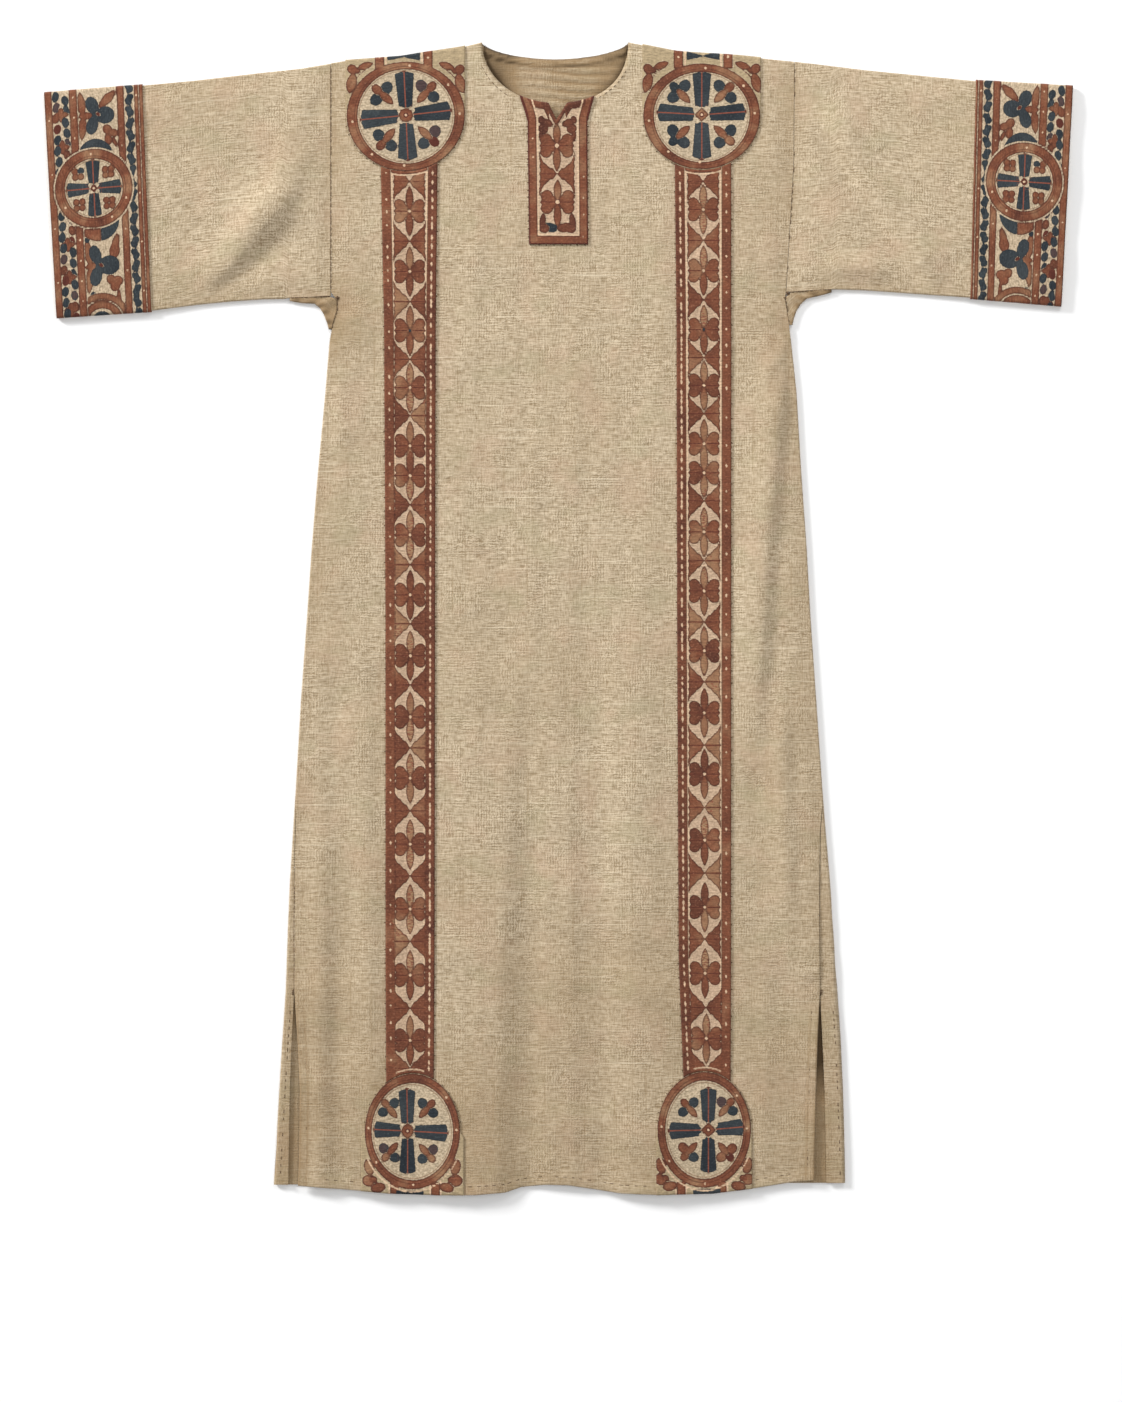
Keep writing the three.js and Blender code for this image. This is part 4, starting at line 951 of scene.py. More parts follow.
CLAVI = {                      # height, outer edge, inner edge
    "left": np.array([(520, -200.4, -136.2), (330, -196.6, -138.4), (0, -195, -139.1),
                      (-385, -195, -139.6), (-530, -194.1, -140.6)]),
    "right": np.array([(520, 194.6, 131), (330, 194.8, 133), (0, 194.7, 133.7),
                       (-385, 194.4, 135.4), (-530, 194, 141.2)])}
SHOULDER_ROUNDELS = {          # middle x, y, half its width, half its height, half the squared end
    "left": (-172.7, 567.1, 67.1, 62.9, 67.5), "right": (161.4, 567.1, 66.2, 61.4, 66.8)}
HEM_ROUNDELS = {
    "left": (-164.5, -578.4, 53.9, 65.5, 58.0), "right": (164.2, -576.7, 53.0, 66.0, 54.0)}
FLOWERS = {                    # heights of their middles
    "left": (459, 391, 324.5, 260, 194.5, 161, 94, 26.5, -42, -111, -180, -254.5, -327.5, -402,
             -475.5),
    "right": (461, 392, 325.5, 262.5, 197, 164, 97.5, 31, -36.5, -106.5, -175.5, -250, -325.5,
              -400, -473.5)}
HALF_LEAVES = {
    "left": (492.5, 425, 357, 292, 228.5, 128, 60.5, -6, -75, -146, -217, -290.5, -364, -439.5, -507),
    "right": (492.5, 426, 359, 294, 231, 132.5, 65, -4, -71.5, -143, -213, -287, -361.5, -438.5, -507)}
STRIP = 11.0                   # width of a red border
LINE = 1.8                     # width of the cream line beside it
CLAVUS_TOP, CLAVUS_FOOT = 512, -519
FADED, DEEP = (-0.25, 0.0, 0.35, 0.7, 0.8), (-0.3, -0.1, 0.0, 0.1, 0.5)      # tones of red leaves


def oval_end(x, roundel, up):
    """Height of a roundel's round end at a place, the sewing gap beyond it."""
    centre_x, centre_y, radius_x, radius_y, _ = roundel
    return centre_y + up * (radius_y * np.sqrt(1 - ((x - centre_x) / radius_x) ** 2) + SEAM)


for side, way in SIDES.items():
    motifs = sorted((*FLOWERS[side], *HALF_LEAVES[side]), reverse=True)
    row_y = places_between(CLAVUS_TOP, CLAVUS_FOOT, 1.62, *motifs)[:, None]
    outer_x, inner_x = read(CLAVI[side], row_y), read(CLAVI[side], row_y, 2)
    wide = np.abs(inner_x - outer_x)
    border = np.append(places_between(0, STRIP, 1.9, STRIP / 2), [STRIP + LINE / 2, STRIP + LINE])
    field = np.linspace(0, 1, 24)[1:-1]
    inset = np.concatenate([0 * wide + border, border[-1] + (wide - 2 * border[-1]) * field,
                            wide - border[::-1]], axis=1)
    x = (outer_x - way * inset)[:, ::-way]
    top, foot = oval_end(x, SHOULDER_ROUNDELS[side], -1), oval_end(x, HEM_ROUNDELS[side], 1)
    y = row_y + (top - CLAVUS_TOP) * smooth(470, CLAVUS_TOP, row_y)
    y += (foot - CLAVUS_FOOT) * smooth(-480, CLAVUS_FOOT, row_y)
    design = Weaving(x, y)
    outer, inner = np.abs(x - outer_x), np.abs(x - inner_x)
    for strip, tone in ((outer, -0.12), (inner, -0.42)):
        design.weave("madder", STRIP - strip, tone)
        design.weave("pale", band(strip - STRIP - LINE / 2, LINE / 2), 0)

    def across(column, spot):
        """Place of a column of the grid at a height."""
        return np.interp(spot, row_y[::-1, 0], column[::-1, 0])

    middle = (outer_x + inner_x) / 2
    for spot in FLOWERS[side]:
        tones = [*shade_source.choice(FADED, 2), *shade_source.normal(-0.1, 0.22, 2)]
        dot = "indigo" if abs(spot - 325) < 2 else "pale"
        flower(design.near(spot, 38), across(middle, spot), spot, 17.6, 13.2, 29.0, 29.5, tones, dot)
    for spot in HALF_LEAVES[side]:
        tones = shade_source.choice(DEEP, 2)
        half_leaves(design.near(spot, 34), across(middle, spot), spot, 18.3, 22.5, 22.5, tones)
    for column, step, long in ((outer_x - way * STRIP / 2, 24.0, 1.6),
                               (inner_x + way * STRIP / 2, 9.0, 2.6)):
        spot = CLAVUS_TOP - 10.0
        while spot > CLAVUS_FOOT + 7:
            tall = long * shade_source.uniform(0.7, 1.5)
            design.near(spot, 8).oval("pale", across(column, spot), spot, 1.25, tall, tone=0)
            spot -= step * shade_source.uniform(0.45, 1.4)
    ends = np.minimum(top - y, y - foot)
    between = np.minimum(outer, inner) - STRIP
    design.weave("madder", np.minimum(3.4 - ends, between), -0.1)
    design.weave("pale", np.minimum(band(ends - 4.2, 0.9), between), 0)
    sew_on("clavus_tapestry_" + side, "clavus_" + side, on_front(x, y), design)

# ---------- Shoulder roundels ----------
# A round medallion at the top of each stripe, with a dark blue cross, berries and leaves on cream
# in a red ring. It is squared off up to the shoulder seam, with a sprig in each upper corner.

PLUM = 1.3                     # tone at which the dark blue is woven plum brown
PATCH_TONE = -0.9              # of the undyed ground outside the rings
QUARTER = ("indigo", "indigo", "madder", "madder")     # berries and leaves of most quarters


def away(x, y, distance, degrees):
    """The place so far from a centre in a direction."""
    turn = np.radians(degrees)
    return x + distance * np.cos(turn), y + distance * np.sin(turn)


def cross(design, x, y, start, near_half, arms):
    """Four flaring arms with a shallow point at the end and a red vein. arms: angle, reach, half."""
    for angle, reach, half in arms:
        u, v = design.at(x, y, angle)
        corner = reach * 0.93
        arm = facets(u, v, [(start, -near_half), (corner, -half), (reach, 0), (corner, half),
                            (start, near_half)])
        design.weave("indigo", arm)
        np.copyto(design.fields["vein"], np.clip(v, -9, 9), where=arm > -2.5)
        u, v = design.at(*away(x, y, reach * 0.985, angle), angle)
        design.weave("dark", lens(v, u, 3.4, 1.2), 0)


def boss(design, x, y, radius, corners=8, point=1.0):
    """A red boss with straight sides and a pale dot, with a cream notch between each two arms."""
    for turn in (45, 135, 225, 315):
        design.oval("undyed", *away(x, y, radius * 0.98, turn), radius * 0.36, radius * 0.44, turn, 0)
    turns = np.arange(corners) * 2 * np.pi / corners
    reach = np.where(turns % np.pi == np.pi / 2, radius * point, radius)
    inside = facets(*design.at(x, y), list(zip(reach * np.cos(turns), reach * np.sin(turns))))
    design.weave("undyed", inside, 0)
    design.weave("dark", inside, 0)
    design.weave("madder", inside - 0.6, 0.1)
    design.oval("dark", x, y, 2.9, 2.9, tone=0)
    design.oval("pale", x, y, 1.5, 1.5, tone=0)


def berries(design, x, y, right, up, crossing, size, colours):
    """Crossed leaves and two berries in a quarter, the first berry nearer the upright arm.

    colours: first berry, second, inner leaf and outer.
    """
    length = np.hypot(*crossing)
    unit = np.array([right * crossing[0], up * crossing[1]]) / length
    along = np.degrees(np.arctan2(unit[1], unit[0]))
    aside = np.array([-unit[1], unit[0]]) * right * up
    spot = np.array([x, y]) + unit * length
    for sign, colour, shade in ((1, colours[0], 0.15), (-1, colours[1], -0.15)):
        at = spot + aside * sign * size * 1.3 - unit * 0.6
        shade = PLUM if colour == "plum" else shade
        design.oval("indigo" if colour == "plum" else colour, *at, size * 1.14, size * 0.98,
                    along + sign * right * 78, shade)
    design.oval(colours[3], *(spot + unit * size * 0.95), size * 1.02, size * 0.78, along)
    design.leaf(colours[2], *(spot - unit * size * 1.15), size * 1.65, size * 0.72, along, 0.15)
    design.oval(colours[2], *(spot - unit * size * 0.2), size * 0.6, size * 0.5, along, 0.1)


def ring(design, x, y, outer, inner, dots=()):
    """A red ring, half-width and heights above and below at each rim, with pale dots at angles."""
    u, v = design.at(x, y)
    out_depth = oval(u, v, outer[0], np.where(v > 0, outer[1], outer[2]))
    in_depth = oval(u, v, inner[0], np.where(v > 0, inner[1], inner[2]))
    turn = np.arctan2(v, u)
    mottled = 0.2 * np.sin(turn * 3 + x) + 0.16 * np.sin(turn * 7 + 1) + 0.12 * np.sin(turn * 17)
    design.weave("undyed", in_depth, 0)
    design.weave("madder", np.minimum(out_depth, -in_depth), mottled)
    design.fields["ring"][:] = np.where(out_depth > 0, in_depth, -FAR)
    for turn in dots:
        design.oval("pale", x + (outer[0] + inner[0]) / 2 * np.cos(np.radians(turn)),
                    y + (outer[1] + inner[1]) / 2 * np.sin(np.radians(turn)), 1.5, 1.5, tone=0)


def roundel_places(roundel, far, pole_up, columns):
    """Grid over a roundel from its round end: an oval's half-widths, then on to the squared end."""
    centre_x, centre_y, radius_x, radius_y, half = roundel
    swing = np.linspace(0.035, np.pi / 2, int(radius_y / ROUNDEL_STEP * 1.25))
    straight = np.linspace(centre_y, far, int(abs(far - centre_y) / ROUNDEL_STEP))[1:]
    row_y = np.concatenate([centre_y + pole_up * radius_y * np.cos(swing), straight])[:, None]
    reach = np.sqrt(np.clip(1 - ((row_y - centre_y) / radius_y) ** 2, 0, 1)) * radius_x
    past = (centre_y - row_y) * pole_up
    reach = np.where(past > 0, radius_x + (half - radius_x) * smooth(0, 7, past), reach)
    return centre_x + reach * np.linspace(-1, 1, columns), row_y * np.ones(columns)


def quarter_berries(design, x, y, size, quarters):
    """Berries and leaves of all quarters, each: which way, which height, crossing and colours."""
    for way, lift, across, up_to, *colours in quarters:
        berries(design, x, y, way, lift, (across, up_to), size, colours)


ROUNDEL_STEP = 1.45            # about how far apart a roundel's rows lie
SHOULDER_DESIGNS = {           # cross x, y, ring, inner rim, arms, boss corners, quarters
    "left": (-172.0, 567.2, (66.9, 60.6, 62.7), (54.4, 51.9, 53.9),
             ((92.5, 50.3, 11.0), (6, 52.0, 10.8), (186, 52.0, 11.0), (272.5, 51.5, 11.2)), 8,
             ((-1, 1, 28.0, 24.6, *QUARTER), (1, 1, 24.6, 27.4, "plum", "indigo", "madder", "madder"),
              (-1, -1, 24.0, 29.0, *QUARTER),
              (1, -1, 27.0, 25.4, "indigo", "plum", "madder", "dark"))),
    "right": (161.5, 567.8, (65.9, 57.9, 61.2), (53.8, 48.4, 53.0),
              ((90, 49.5, 10.7), (4, 50.5, 9.8), (177, 51.0, 10.2), (270, 51.0, 10.8)), 4,
              ((-1, 1, 26.1, 26.4, "indigo", "indigo", "madder", "indigo"),
               (1, 1, 26.6, 26.4, *QUARTER),
               (-1, -1, 26.9, 25.0, "indigo", "indigo", "madder", "indigo"),
               (1, -1, 26.8, 25.0, *QUARTER)))}
STUBS = {"left": (-29.8, 24.8), "right": (-26.5, 29.5)}     # middles of the strips above the ring
SPRIG = (                      # in an upper corner: out, up, half-sizes, turned by, tone
    (60.4, 51.5, 6.4, 5.4, 40, -0.1), (54.5, 49.5, 3.6, 2.8, -40, -0.3))
GRID_TOP = 622                 # height of a patch's grid before its top rows follow the shoulder
for side in SIDES:
    x, y = (one[::-1] for one in roundel_places(SHOULDER_ROUNDELS[side], GRID_TOP, -1, 93))
    walks = np.concatenate([SEAM / 2 + np.linspace(0, 3, 8), np.linspace(4.2, 14, 7)])
    top_y = read(SHOULDER_LINE, x[0]) - edge_inset(walks)[:, None]
    y += (top_y[-1] - 1.4 - GRID_TOP) * smooth(585, GRID_TOP, y)
    x, y = np.concatenate([np.repeat(x[:1], len(walks), axis=0), x]), np.concatenate([top_y, y])
    up = np.concatenate([edge_up(walks), np.full(len(y) - len(walks), 2.0)])[:, None]
    cx, cy, outer, inner, arms, corners, quarters = SHOULDER_DESIGNS[side]
    design = Weaving(x, y)
    design.fields["tone"][:] = PATCH_TONE
    u, v = design.at(cx, cy)
    for middle in STUBS[side]:
        design.weave("madder", np.minimum(v - 52, band(u - middle, 5.3)), 0.0)
        design.oval("pale", cx + middle, cy + 65, 1.4, 1.4, tone=0)
    from_middle = u - sum(STUBS[side]) / 2
    design.weave("pale", np.minimum(band(band(from_middle, 20.5) - 0.2, 0.9), v - 52), 0)
    for way in (-1, 1):
        out = way * from_middle
        wedge = np.minimum(np.minimum(out * 0.2 + 0.8 - np.abs(v - 66.0), out), 18.6 - out)
        design.weave("indigo", wedge, -0.1)
    for way in (-1, 1):
        design.leaf("madder", cx + way * 46.0, cy + 55.4, 10.0, 4.2, -way * 20, -0.1)
        design.leaf("madder", cx + way * 61.2, cy + 36.2, 12.2, 6.0, -way * 76, 0.15)
        design.lobes(cx, cy, way, SPRIG)
        line = np.minimum(band(oval(u, v, 72.5, 67) - 0.8, 0.6), np.minimum(way * u - 42, v - 24))
        design.weave("madder", line, 0.4)
    ring_x = SHOULDER_ROUNDELS[side][0] if side == "right" else cx
    ring(design, ring_x, cy - 0.3, outer, inner, (86, 2, 187, 268, 231, 38))
    quarter_berries(design, cx, cy, 6.7, quarters)
    cross(design, cx, cy, 8.5, 7.5, arms)
    boss(design, cx, cy, 9.0, corners)
    sew_on("shoulder_tapestry_" + side, "shoulder_roundel_" + side, on_front(x, y, up), design)

# ---------- Hem roundels ----------
# The same medallion at the foot of each stripe, taller than it is wide, and squared off down to
# the hem with a three-lobed sprig in each lower corner.

HEM_DESIGNS = {                # cross x, y, inner rim, arms, quarters, boss with its upright stretch
    "left": (-170.2, -577.7, (45.7, 54.7, 54.7),
             ((91, 48.2, 9.6), (-3, 46.5, 10.0), (177, 38.5, 9.4), (270, 49.4, 9.4)),
             ((-1, 1, 21.6, 27.0, *QUARTER), (1, 1, 23.4, 26.4, *QUARTER),
              (-1, -1, 21.0, 25.0, "indigo", "plum", "madder", "madder"),
              (1, -1, 23.4, 26.6, "indigo", "plum", "madder", "madder")), (8.0, 8, 1.25)),
    "right": (168.9, -576.5, (43.7, 55.5, 55.0),
              ((90, 48.0, 9.4), (5, 40.5, 9.6), (181, 45.5, 9.8), (270, 49.2, 9.4)),
              ((-1, 1, 23.0, 26.2, *QUARTER),
               (1, 1, 21.5, 27.0, "plum", "indigo", "madder", "madder"),
               (-1, -1, 23.2, 25.6, "indigo", "madder", "madder", "madder"),
               (1, -1, 21.0, 26.4, "madder", "madder", "madder", "dark")), (9.6, 4, 1.0))}
HEM_STRIPS = (26.0, -20.3)     # middles of the strips under the ring, to the outer side and inner
HEM_SPRIG = (                  # the same in a lower corner
    (48.8, -40.0, 9.4, 5.8, 76, 0.25), (50.0, -55.5, 7.0, 6.2, 30, 0.1),
    (38.5, -63.0, 8.6, 5.4, -12, -0.05), (44.0, -54.0, 4.6, 3.8, 0, -0.3))
GRID_FOOT = -632               # height of a patch's grid before its low rows follow the hem
for side, way in SIDES.items():
    roundel = HEM_ROUNDELS[side]
    ring_x, ring_y, half_wide, half_tall, _ = roundel
    x, y = roundel_places(roundel, GRID_FOOT, 1, 81)
    y += (read(FRONT_HEM, x[-1]) + 0.25 - GRID_FOOT) * smooth(-600, GRID_FOOT, y)
    cx, cy, inner, arms, quarters, middle_boss = HEM_DESIGNS[side]
    design = Weaving(x, y)
    design.fields["tone"][:] = PATCH_TONE
    u, v = design.at(ring_x, ring_y)
    for out in HEM_STRIPS:
        design.weave("madder", np.minimum(-58 - v, band(u + way * out, 5.0)), 0.0)
        design.weave("pale", np.minimum(-58 - v, band(np.abs(u + way * out) - 6.0, 0.8)), 0)
    design.weave("indigo", np.minimum(band(v + 69.3, 3.2), band(u - way * 3.0, 15.5)))
    for corner in (-1, 1):
        design.lobes(ring_x, ring_y, corner, HEM_SPRIG)
    around_ring = band(oval(u, v, half_wide + 3.4, half_tall + 3.0) - 0.8, 0.8)
    design.weave("pale", np.minimum(around_ring, -v - 30), 0)
    ring(design, ring_x, ring_y, (half_wide - 0.2, half_tall - 0.2, 65.2), inner,
         (176, 2, 271, 40, 215))
    quarter_berries(design, cx, cy, 5.8, quarters)
    cross(design, cx, cy, 7.5, 6.7, arms)
    boss(design, cx, cy, *middle_boss)
    sew_on("hem_tapestry_" + side, "hem_roundel_" + side, on_front(x, y), design)

# ---------- Cuff bands ----------
# A wide tapestry band sewn round the end of each sleeve: narrow red borders, a strip of vine, a
# strip of dark leaves, and between them a panel of trefoils with a small medallion.

CUFF_START = {"left": 469.0, "right": 470.6}
CUFF_WRAP = 252                # how far the design goes down from the upper fold
CUFF_STRIPS = (                # red strips: from, to, tone
    (0, 8.5, 0.1), (27.6, 36.7, 0.0), (81.4, 89.7, 0.0), (101, 106, 0.05), (106.6, 112.5, 0.0))
CUFF_DOTS = (                  # pale dots along a strip: first, apart, distance in
    (9, 23, 32.2), (20, 47, 85.5), (33, 61, 4.2), (12, 55, 103.5))
VINE = (                       # colours and tones of its berries, in turn
    ("indigo", -0.1), ("indigo", -0.3), ("indigo", PLUM), ("indigo", 0.2), ("madder", -0.3),
    ("indigo", 0.0), ("dark", 0.0))
MEDALLION = 51.0               # distance of its middle from the sleeve's end
MEDALLION_DOWN = {"left": 113, "right": 112}
TREFOIL_UP, TREFOIL_DOWN = 83, 87      # from the medallion's middle to the two trefoils' joints
TREFOILS = (                   # distance in, then petals: in, down, half-sizes, turned by, tone
    (58.2, ((-4.8, -10.4, 10.2, 7.2, 68, 0.2), (9.6, 1.6, 10.4, 9.8, 0, 0.0),
            (-5.6, 12.6, 10.2, 6.8, 108, 0.3))),
    (54.0, ((-5.0, -12.6, 10.4, 6.8, 76, 0.2), (10.6, 0.6, 12.2, 10.8, 0, 0.0),
            (-5.2, 12.6, 10.8, 7.0, 104, 0.3))))
UPPER_TENDRILS = (             # the same for ovals of red tendril, down from the joint
    (70.5, -16, 13.5, 4.8, -43, 0.0), (71.5, -17, 7.0, 5.6, -43, 0.0),
    (69.5, 18, 6.2, 5.2, 50, 0.1), (76.0, 22, 6.4, 4.6, 20, 0.1),
    (70.0, 29, 6.6, 4.4, 80, 0.0), (77.5, 33, 6.5, 2.4, 66, 0.0))
LOWER_TENDRILS = (
    (72.0, -20, 15.0, 4.6, 106, 0.05), (71.5, -15, 8.4, 6.2, 100, 0.05),
    (66.0, 17, 6.0, 5.2, 50, 0.1), (73.5, 19, 6.6, 5.8, 0, 0.1),
    (70.5, 25, 5.6, 6.0, 80, 0.1), (74.5, 36, 9.0, 2.4, 84, 0.0))
FLOWER_LOBES = ((-3.5, -3.2), (3.5, -3.3), (-3.3, 3.5), (3.2, 3.2))     # from a small flower's middle


def trefoil(design, x, y, petals):
    """Three dark petals about a joint, each an oval drawn to a point there."""
    for across, down, half, width, angle, shade in petals:
        design.oval("indigo", x + across, y + down, half, width, angle, shade)
        turn = np.degrees(np.arctan2(down, across))
        design.leaf("indigo", x + across * 0.5, y + down * 0.5, np.hypot(across, down) * 0.72,
                    width * 0.72, turn, shade)


def vine_strip(design):
    """Two rows of berries with a red leaf cross between them after every third."""
    for number, spot in enumerate(np.arange(7, CUFF_WRAP, 12.2)):
        part, sway = design.near(spot, 22), 0.7 * np.sin(number * 2.3)
        for row, (column, lean, late) in enumerate(((12.6, 14, 0), (23.2, -14, 5.0))):
            colour, tone = VINE[(number * 2 + row) % len(VINE)]
            part.oval(colour, column + sway, spot + late, 5.8, 4.2, 90 + lean, tone)
        if number % 3 == 1:
            for turn in (0, 90, 180, 270):
                part.leaf("madder", *away(18.0, spot + 8.5, 3.6, turn), 5.0, 3.4, turn, -0.1)


def leaf_strip(design):
    """A row of dark leaves, each with two lobes, that lean one way and the other."""
    for number, spot in enumerate(np.arange(3, CUFF_WRAP + 8, 13.4)):
        part, way = design.near(min(spot, CUFF_WRAP), 20), 1 if number % 2 else -1
        part.leaf("indigo", 95.4, spot, 7.2, 3.2, 90 - 8 * way)
        for lobe, late in ((way * 2.2, -2.6), (-way * 2.2, 2.0)):
            part.oval("indigo", 95.4 + lobe, spot + late, 3.9, 2.9, 90 + lobe * 9)


def trefoil_panel(design, panel, upper, lower):
    """The two trefoils between their red leaves and tendrils, with small berries beside them."""
    for spot, reach, angle in ((upper - 12, 15, 84), (upper + 14, 15, 96),
                               (lower - 14, 17, 84), (lower + 15, 17, 96)):
        design.leaf("madder", 41.5, spot, reach, 4.9, angle, 0.1, panel)
    for joint, tall in ((upper, 4.2), (lower, 4.8)):
        design.leaf("madder", 46.0, joint + 1, 9.5, tall, 0, 0.05)
        design.oval("madder", 44.0, joint + 1, 5.0, tall, 0, 0.05)
    for joint, tendrils in ((upper, UPPER_TENDRILS), (lower, LOWER_TENDRILS)):
        design.lobes(0, joint, 1, tendrils, panel)
    for joint, (column, petals) in zip((upper, lower), TREFOILS):
        trefoil(design, column, joint, petals)
    for column, spot in ((44, lower + 33), (47, upper + 34), (41, lower - 30)):
        design.oval("indigo", column, spot, 4.4, 3.2, 120, -0.2, panel)
    for joint, (column, _) in zip((upper, lower), TREFOILS):
        design.oval("dark", column + 1.5, joint, 3.2, 2.0, 40, 0)


def cuff_design(across, down, middle):
    """The band's design over distances in from the sleeve's end and down from its upper fold."""
    design = Weaving(across, down)
    design.fields["tone"][:] = 0.15
    for low, high, tone in CUFF_STRIPS:
        design.weave("madder", band(across - (low + high) / 2, (high - low) / 2), tone)
    for first, apart, column in CUFF_DOTS:
        for spot in np.arange(first, CUFF_WRAP, apart):
            design.near(spot, 8).oval("pale", column, spot, 1.15, 1.3, tone=0)
    vine_strip(design)
    leaf_strip(design)
    panel = band(across - 59.05, 21.9)
    upper, lower = middle - TREFOIL_UP, middle + TREFOIL_DOWN
    trefoil_panel(design, panel, upper, lower)
    u, v = design.at(MEDALLION, middle)
    outside = np.minimum(np.hypot(u, v) - 45.6, panel - 0.4)
    design.weave("indigo", np.minimum(oval(u - 3.5, v + 29, 22.5, 26.5), outside), 0.1)
    under = np.minimum(oval(u - 3.5, v - 36, 24.0, 24.0), outside)
    design.weave("madder", np.minimum(under, 6 - u), 0.05)
    design.weave("indigo", np.minimum(under, u - 6))
    around_low = np.hypot(*design.at(53.0, lower + 66))
    for radius, half, tone in ((31, 3.8, 0.1), (21.5, 4.2, 0.0)):
        design.weave("madder", np.minimum(band(around_low - radius, half), panel), tone)
    design.weave("indigo", np.minimum(14.5 - around_low, panel))
    design.weave("undyed", 46.0 - np.hypot(*design.at(MEDALLION, middle)), 0.15)
    ring(design, MEDALLION, middle, (44.4,) * 3, (33.0,) * 3, (268, 60, 150, 20))
    for out, fall in ((-1, -1), (1, -1), (-1, 1), (1, 1)):
        for lobe_x, lobe_y in FLOWER_LOBES:
            blue = (out, fall) == (-1, -1) and lobe_x > 0 > lobe_y
            design.oval("indigo" if blue else "madder", MEDALLION + out * 17.2 + lobe_x,
                        middle + fall * 17.4 + lobe_y, 4.0, 4.0, tone=0.05)
    arms = (0, 32.2, 8.4), (90, 32.4, 8.2), (180, 31.8, 8.4), (270, 32.2, 8.2)
    cross(design, MEDALLION, middle, 4.8, 5.4, arms)
    boss(design, MEDALLION, middle, 5.6, 4)
    return design


for side in SIDES:
    columns = sleeve_columns(112, 34)
    out = places_between(CUFF_START[side], SLEEVE_END, 1.55)[:, None] * np.ones(len(columns[0]))
    points, walk, one_side, _, _ = sleeve_surface(side, out, columns)
    woven = cuff_design((SLEEVE_END - out).T, (one_side - walk).T, MEDALLION_DOWN[side])
    fields = {name: mirrored(side, field.T) for name, field in woven.fields.items()}
    design = Weaving(mirrored(side, woven.y.T), mirrored(side, woven.x.T), fields)
    sew_on("cuff_tapestry_" + side, "cuff_band_" + side, mirrored(side, points), design)

# ---------- Stitches ----------
# Thick brown linen thread: running stitches along the seams and hems, slanting ones round the neck
# panel, the clavi and the roundels, and short ones that cross at the top of each slit and in each
# underarm.

SEAM_TOP = 4.1                 # height of a thread over a pressed seam
HALF_THREAD, HALF_FINE = 0.5, 0.4      # half its thickness in the seams and in the hems
ARMHOLE_STITCHES = {"left": (6.6, 0.95), "right": (8.5, 0.6)}      # apart, share left of them
UNDERARM_CORNERS = {"left": (-249.2, 361.3), "right": (258.6, 366.2)}     # where three seams meet
SLIT_KNOT = np.array([         # both ends of each short stitch, from the place where they cross
    (-2.6, 1.6, 2.8, 2.4), (-2.8, -0.6, 2.6, 0.2), (-2.4, -2.4, 2.4, -1.8), (-0.8, 3.4, 1.0, -3.6)])
GUSSET_KNOT = np.array([(-1.6, 0.4, 1.6, -0.2), (0.3, 1.4, -0.2, -1.6)])
CORNER_KNOT = np.array([(-1.9, -0.9, 1.9, 0.7), (-1.7, 0.9, 1.6, -0.8), (0.2, -2.0, -0.2, 2.0)])


def side_seam(side, y):
    """Place across of the front's side seam, or its slit edge, at a height."""
    inset = read(SIDE_SEAMS, y, 2 if side == "left" else 4)
    return body_side(side, y) - SIDES[side] * inset


def running(points, apart, long, share):
    """Ends of stitches along a line of points, about so far apart; share is how many are left."""
    walked = np.append(0, np.cumsum(np.linalg.norm(np.diff(points, axis=0), axis=1)))
    middle = np.arange(apart / 2, walked[-1] - long, apart)
    middle += stitch_source.normal(0, apart * 0.08, len(middle))
    middle = middle[stitch_source.random(len(middle)) < share]
    half = long / 2 * stitch_source.uniform(0.75, 1.2, len(middle))
    return [np.stack([np.interp(middle + way * half, walked, line) for line in points.T], axis=1)
            for way in (-1, 1)]


def threads(name, stitches):
    """Six-sided stitches with pointed ends from rows of start x, y, z, end x, y, z and radius."""
    rows = np.concatenate(stitches)
    start, end, radius = rows[:, :3], rows[:, 3:6], rows[:, 6:]
    along = (end - start) / np.linalg.norm(end - start, axis=1, keepdims=True)
    aside = np.cross(along, (0, 0, 1))
    aside /= np.linalg.norm(aside, axis=1, keepdims=True)
    turn = (np.arange(6) * np.pi / 3)[:, None]
    rim = aside[:, None] * np.cos(turn) + np.cross(aside, along)[:, None] * np.sin(turn)
    rim *= radius[:, None]
    tip = along * radius * 0.9
    points = np.concatenate([(start - tip)[:, None], start[:, None] + rim, end[:, None] + rim,
                             (end + tip)[:, None]], axis=1)
    one = np.arange(6)
    after = (one + 1) % 6
    sides = np.stack([1 + one, 1 + after, 7 + after, 7 + one], axis=1)
    caps = np.concatenate([np.stack([0 * one, 1 + after, 1 + one], axis=1),
                           np.stack([0 * one + 13, 7 + one, 7 + after], axis=1)])
    first = (np.arange(len(rows)) * 14)[:, None, None]
    faces = (sides + first).reshape(-1, 4).tolist() + (caps + first).reshape(-1, 3).tolist()
    mesh = bpy.data.meshes.new(name)
    mesh.from_pydata(points.reshape(-1, 3) / 1000, [], faces)
    mesh.polygons.foreach_set("use_smooth", np.ones(len(faces), dtype=bool))
    piece = bpy.data.objects.new(name, mesh)
    bpy.context.scene.collection.objects.link(piece)
    return piece


def laid(ends, heights, radius):
    """Rows for threads, from both ends' places, how high their middles lie and their radius."""
    (start, end), (start_up, end_up) = ends, heights
    return np.column_stack([start, start_up, end, end_up, np.full(len(start), radius)])


def level(ends, height, radius):
    """Rows for threads that lie level."""
    return laid(ends, [np.full(len(one), height) for one in ends], radius)


def crossing(place, knot, height, radius):
    """Rows for short level threads that cross at a place."""
    return level([place + knot[:, :2], place + knot[:, 2:]], height, radius)


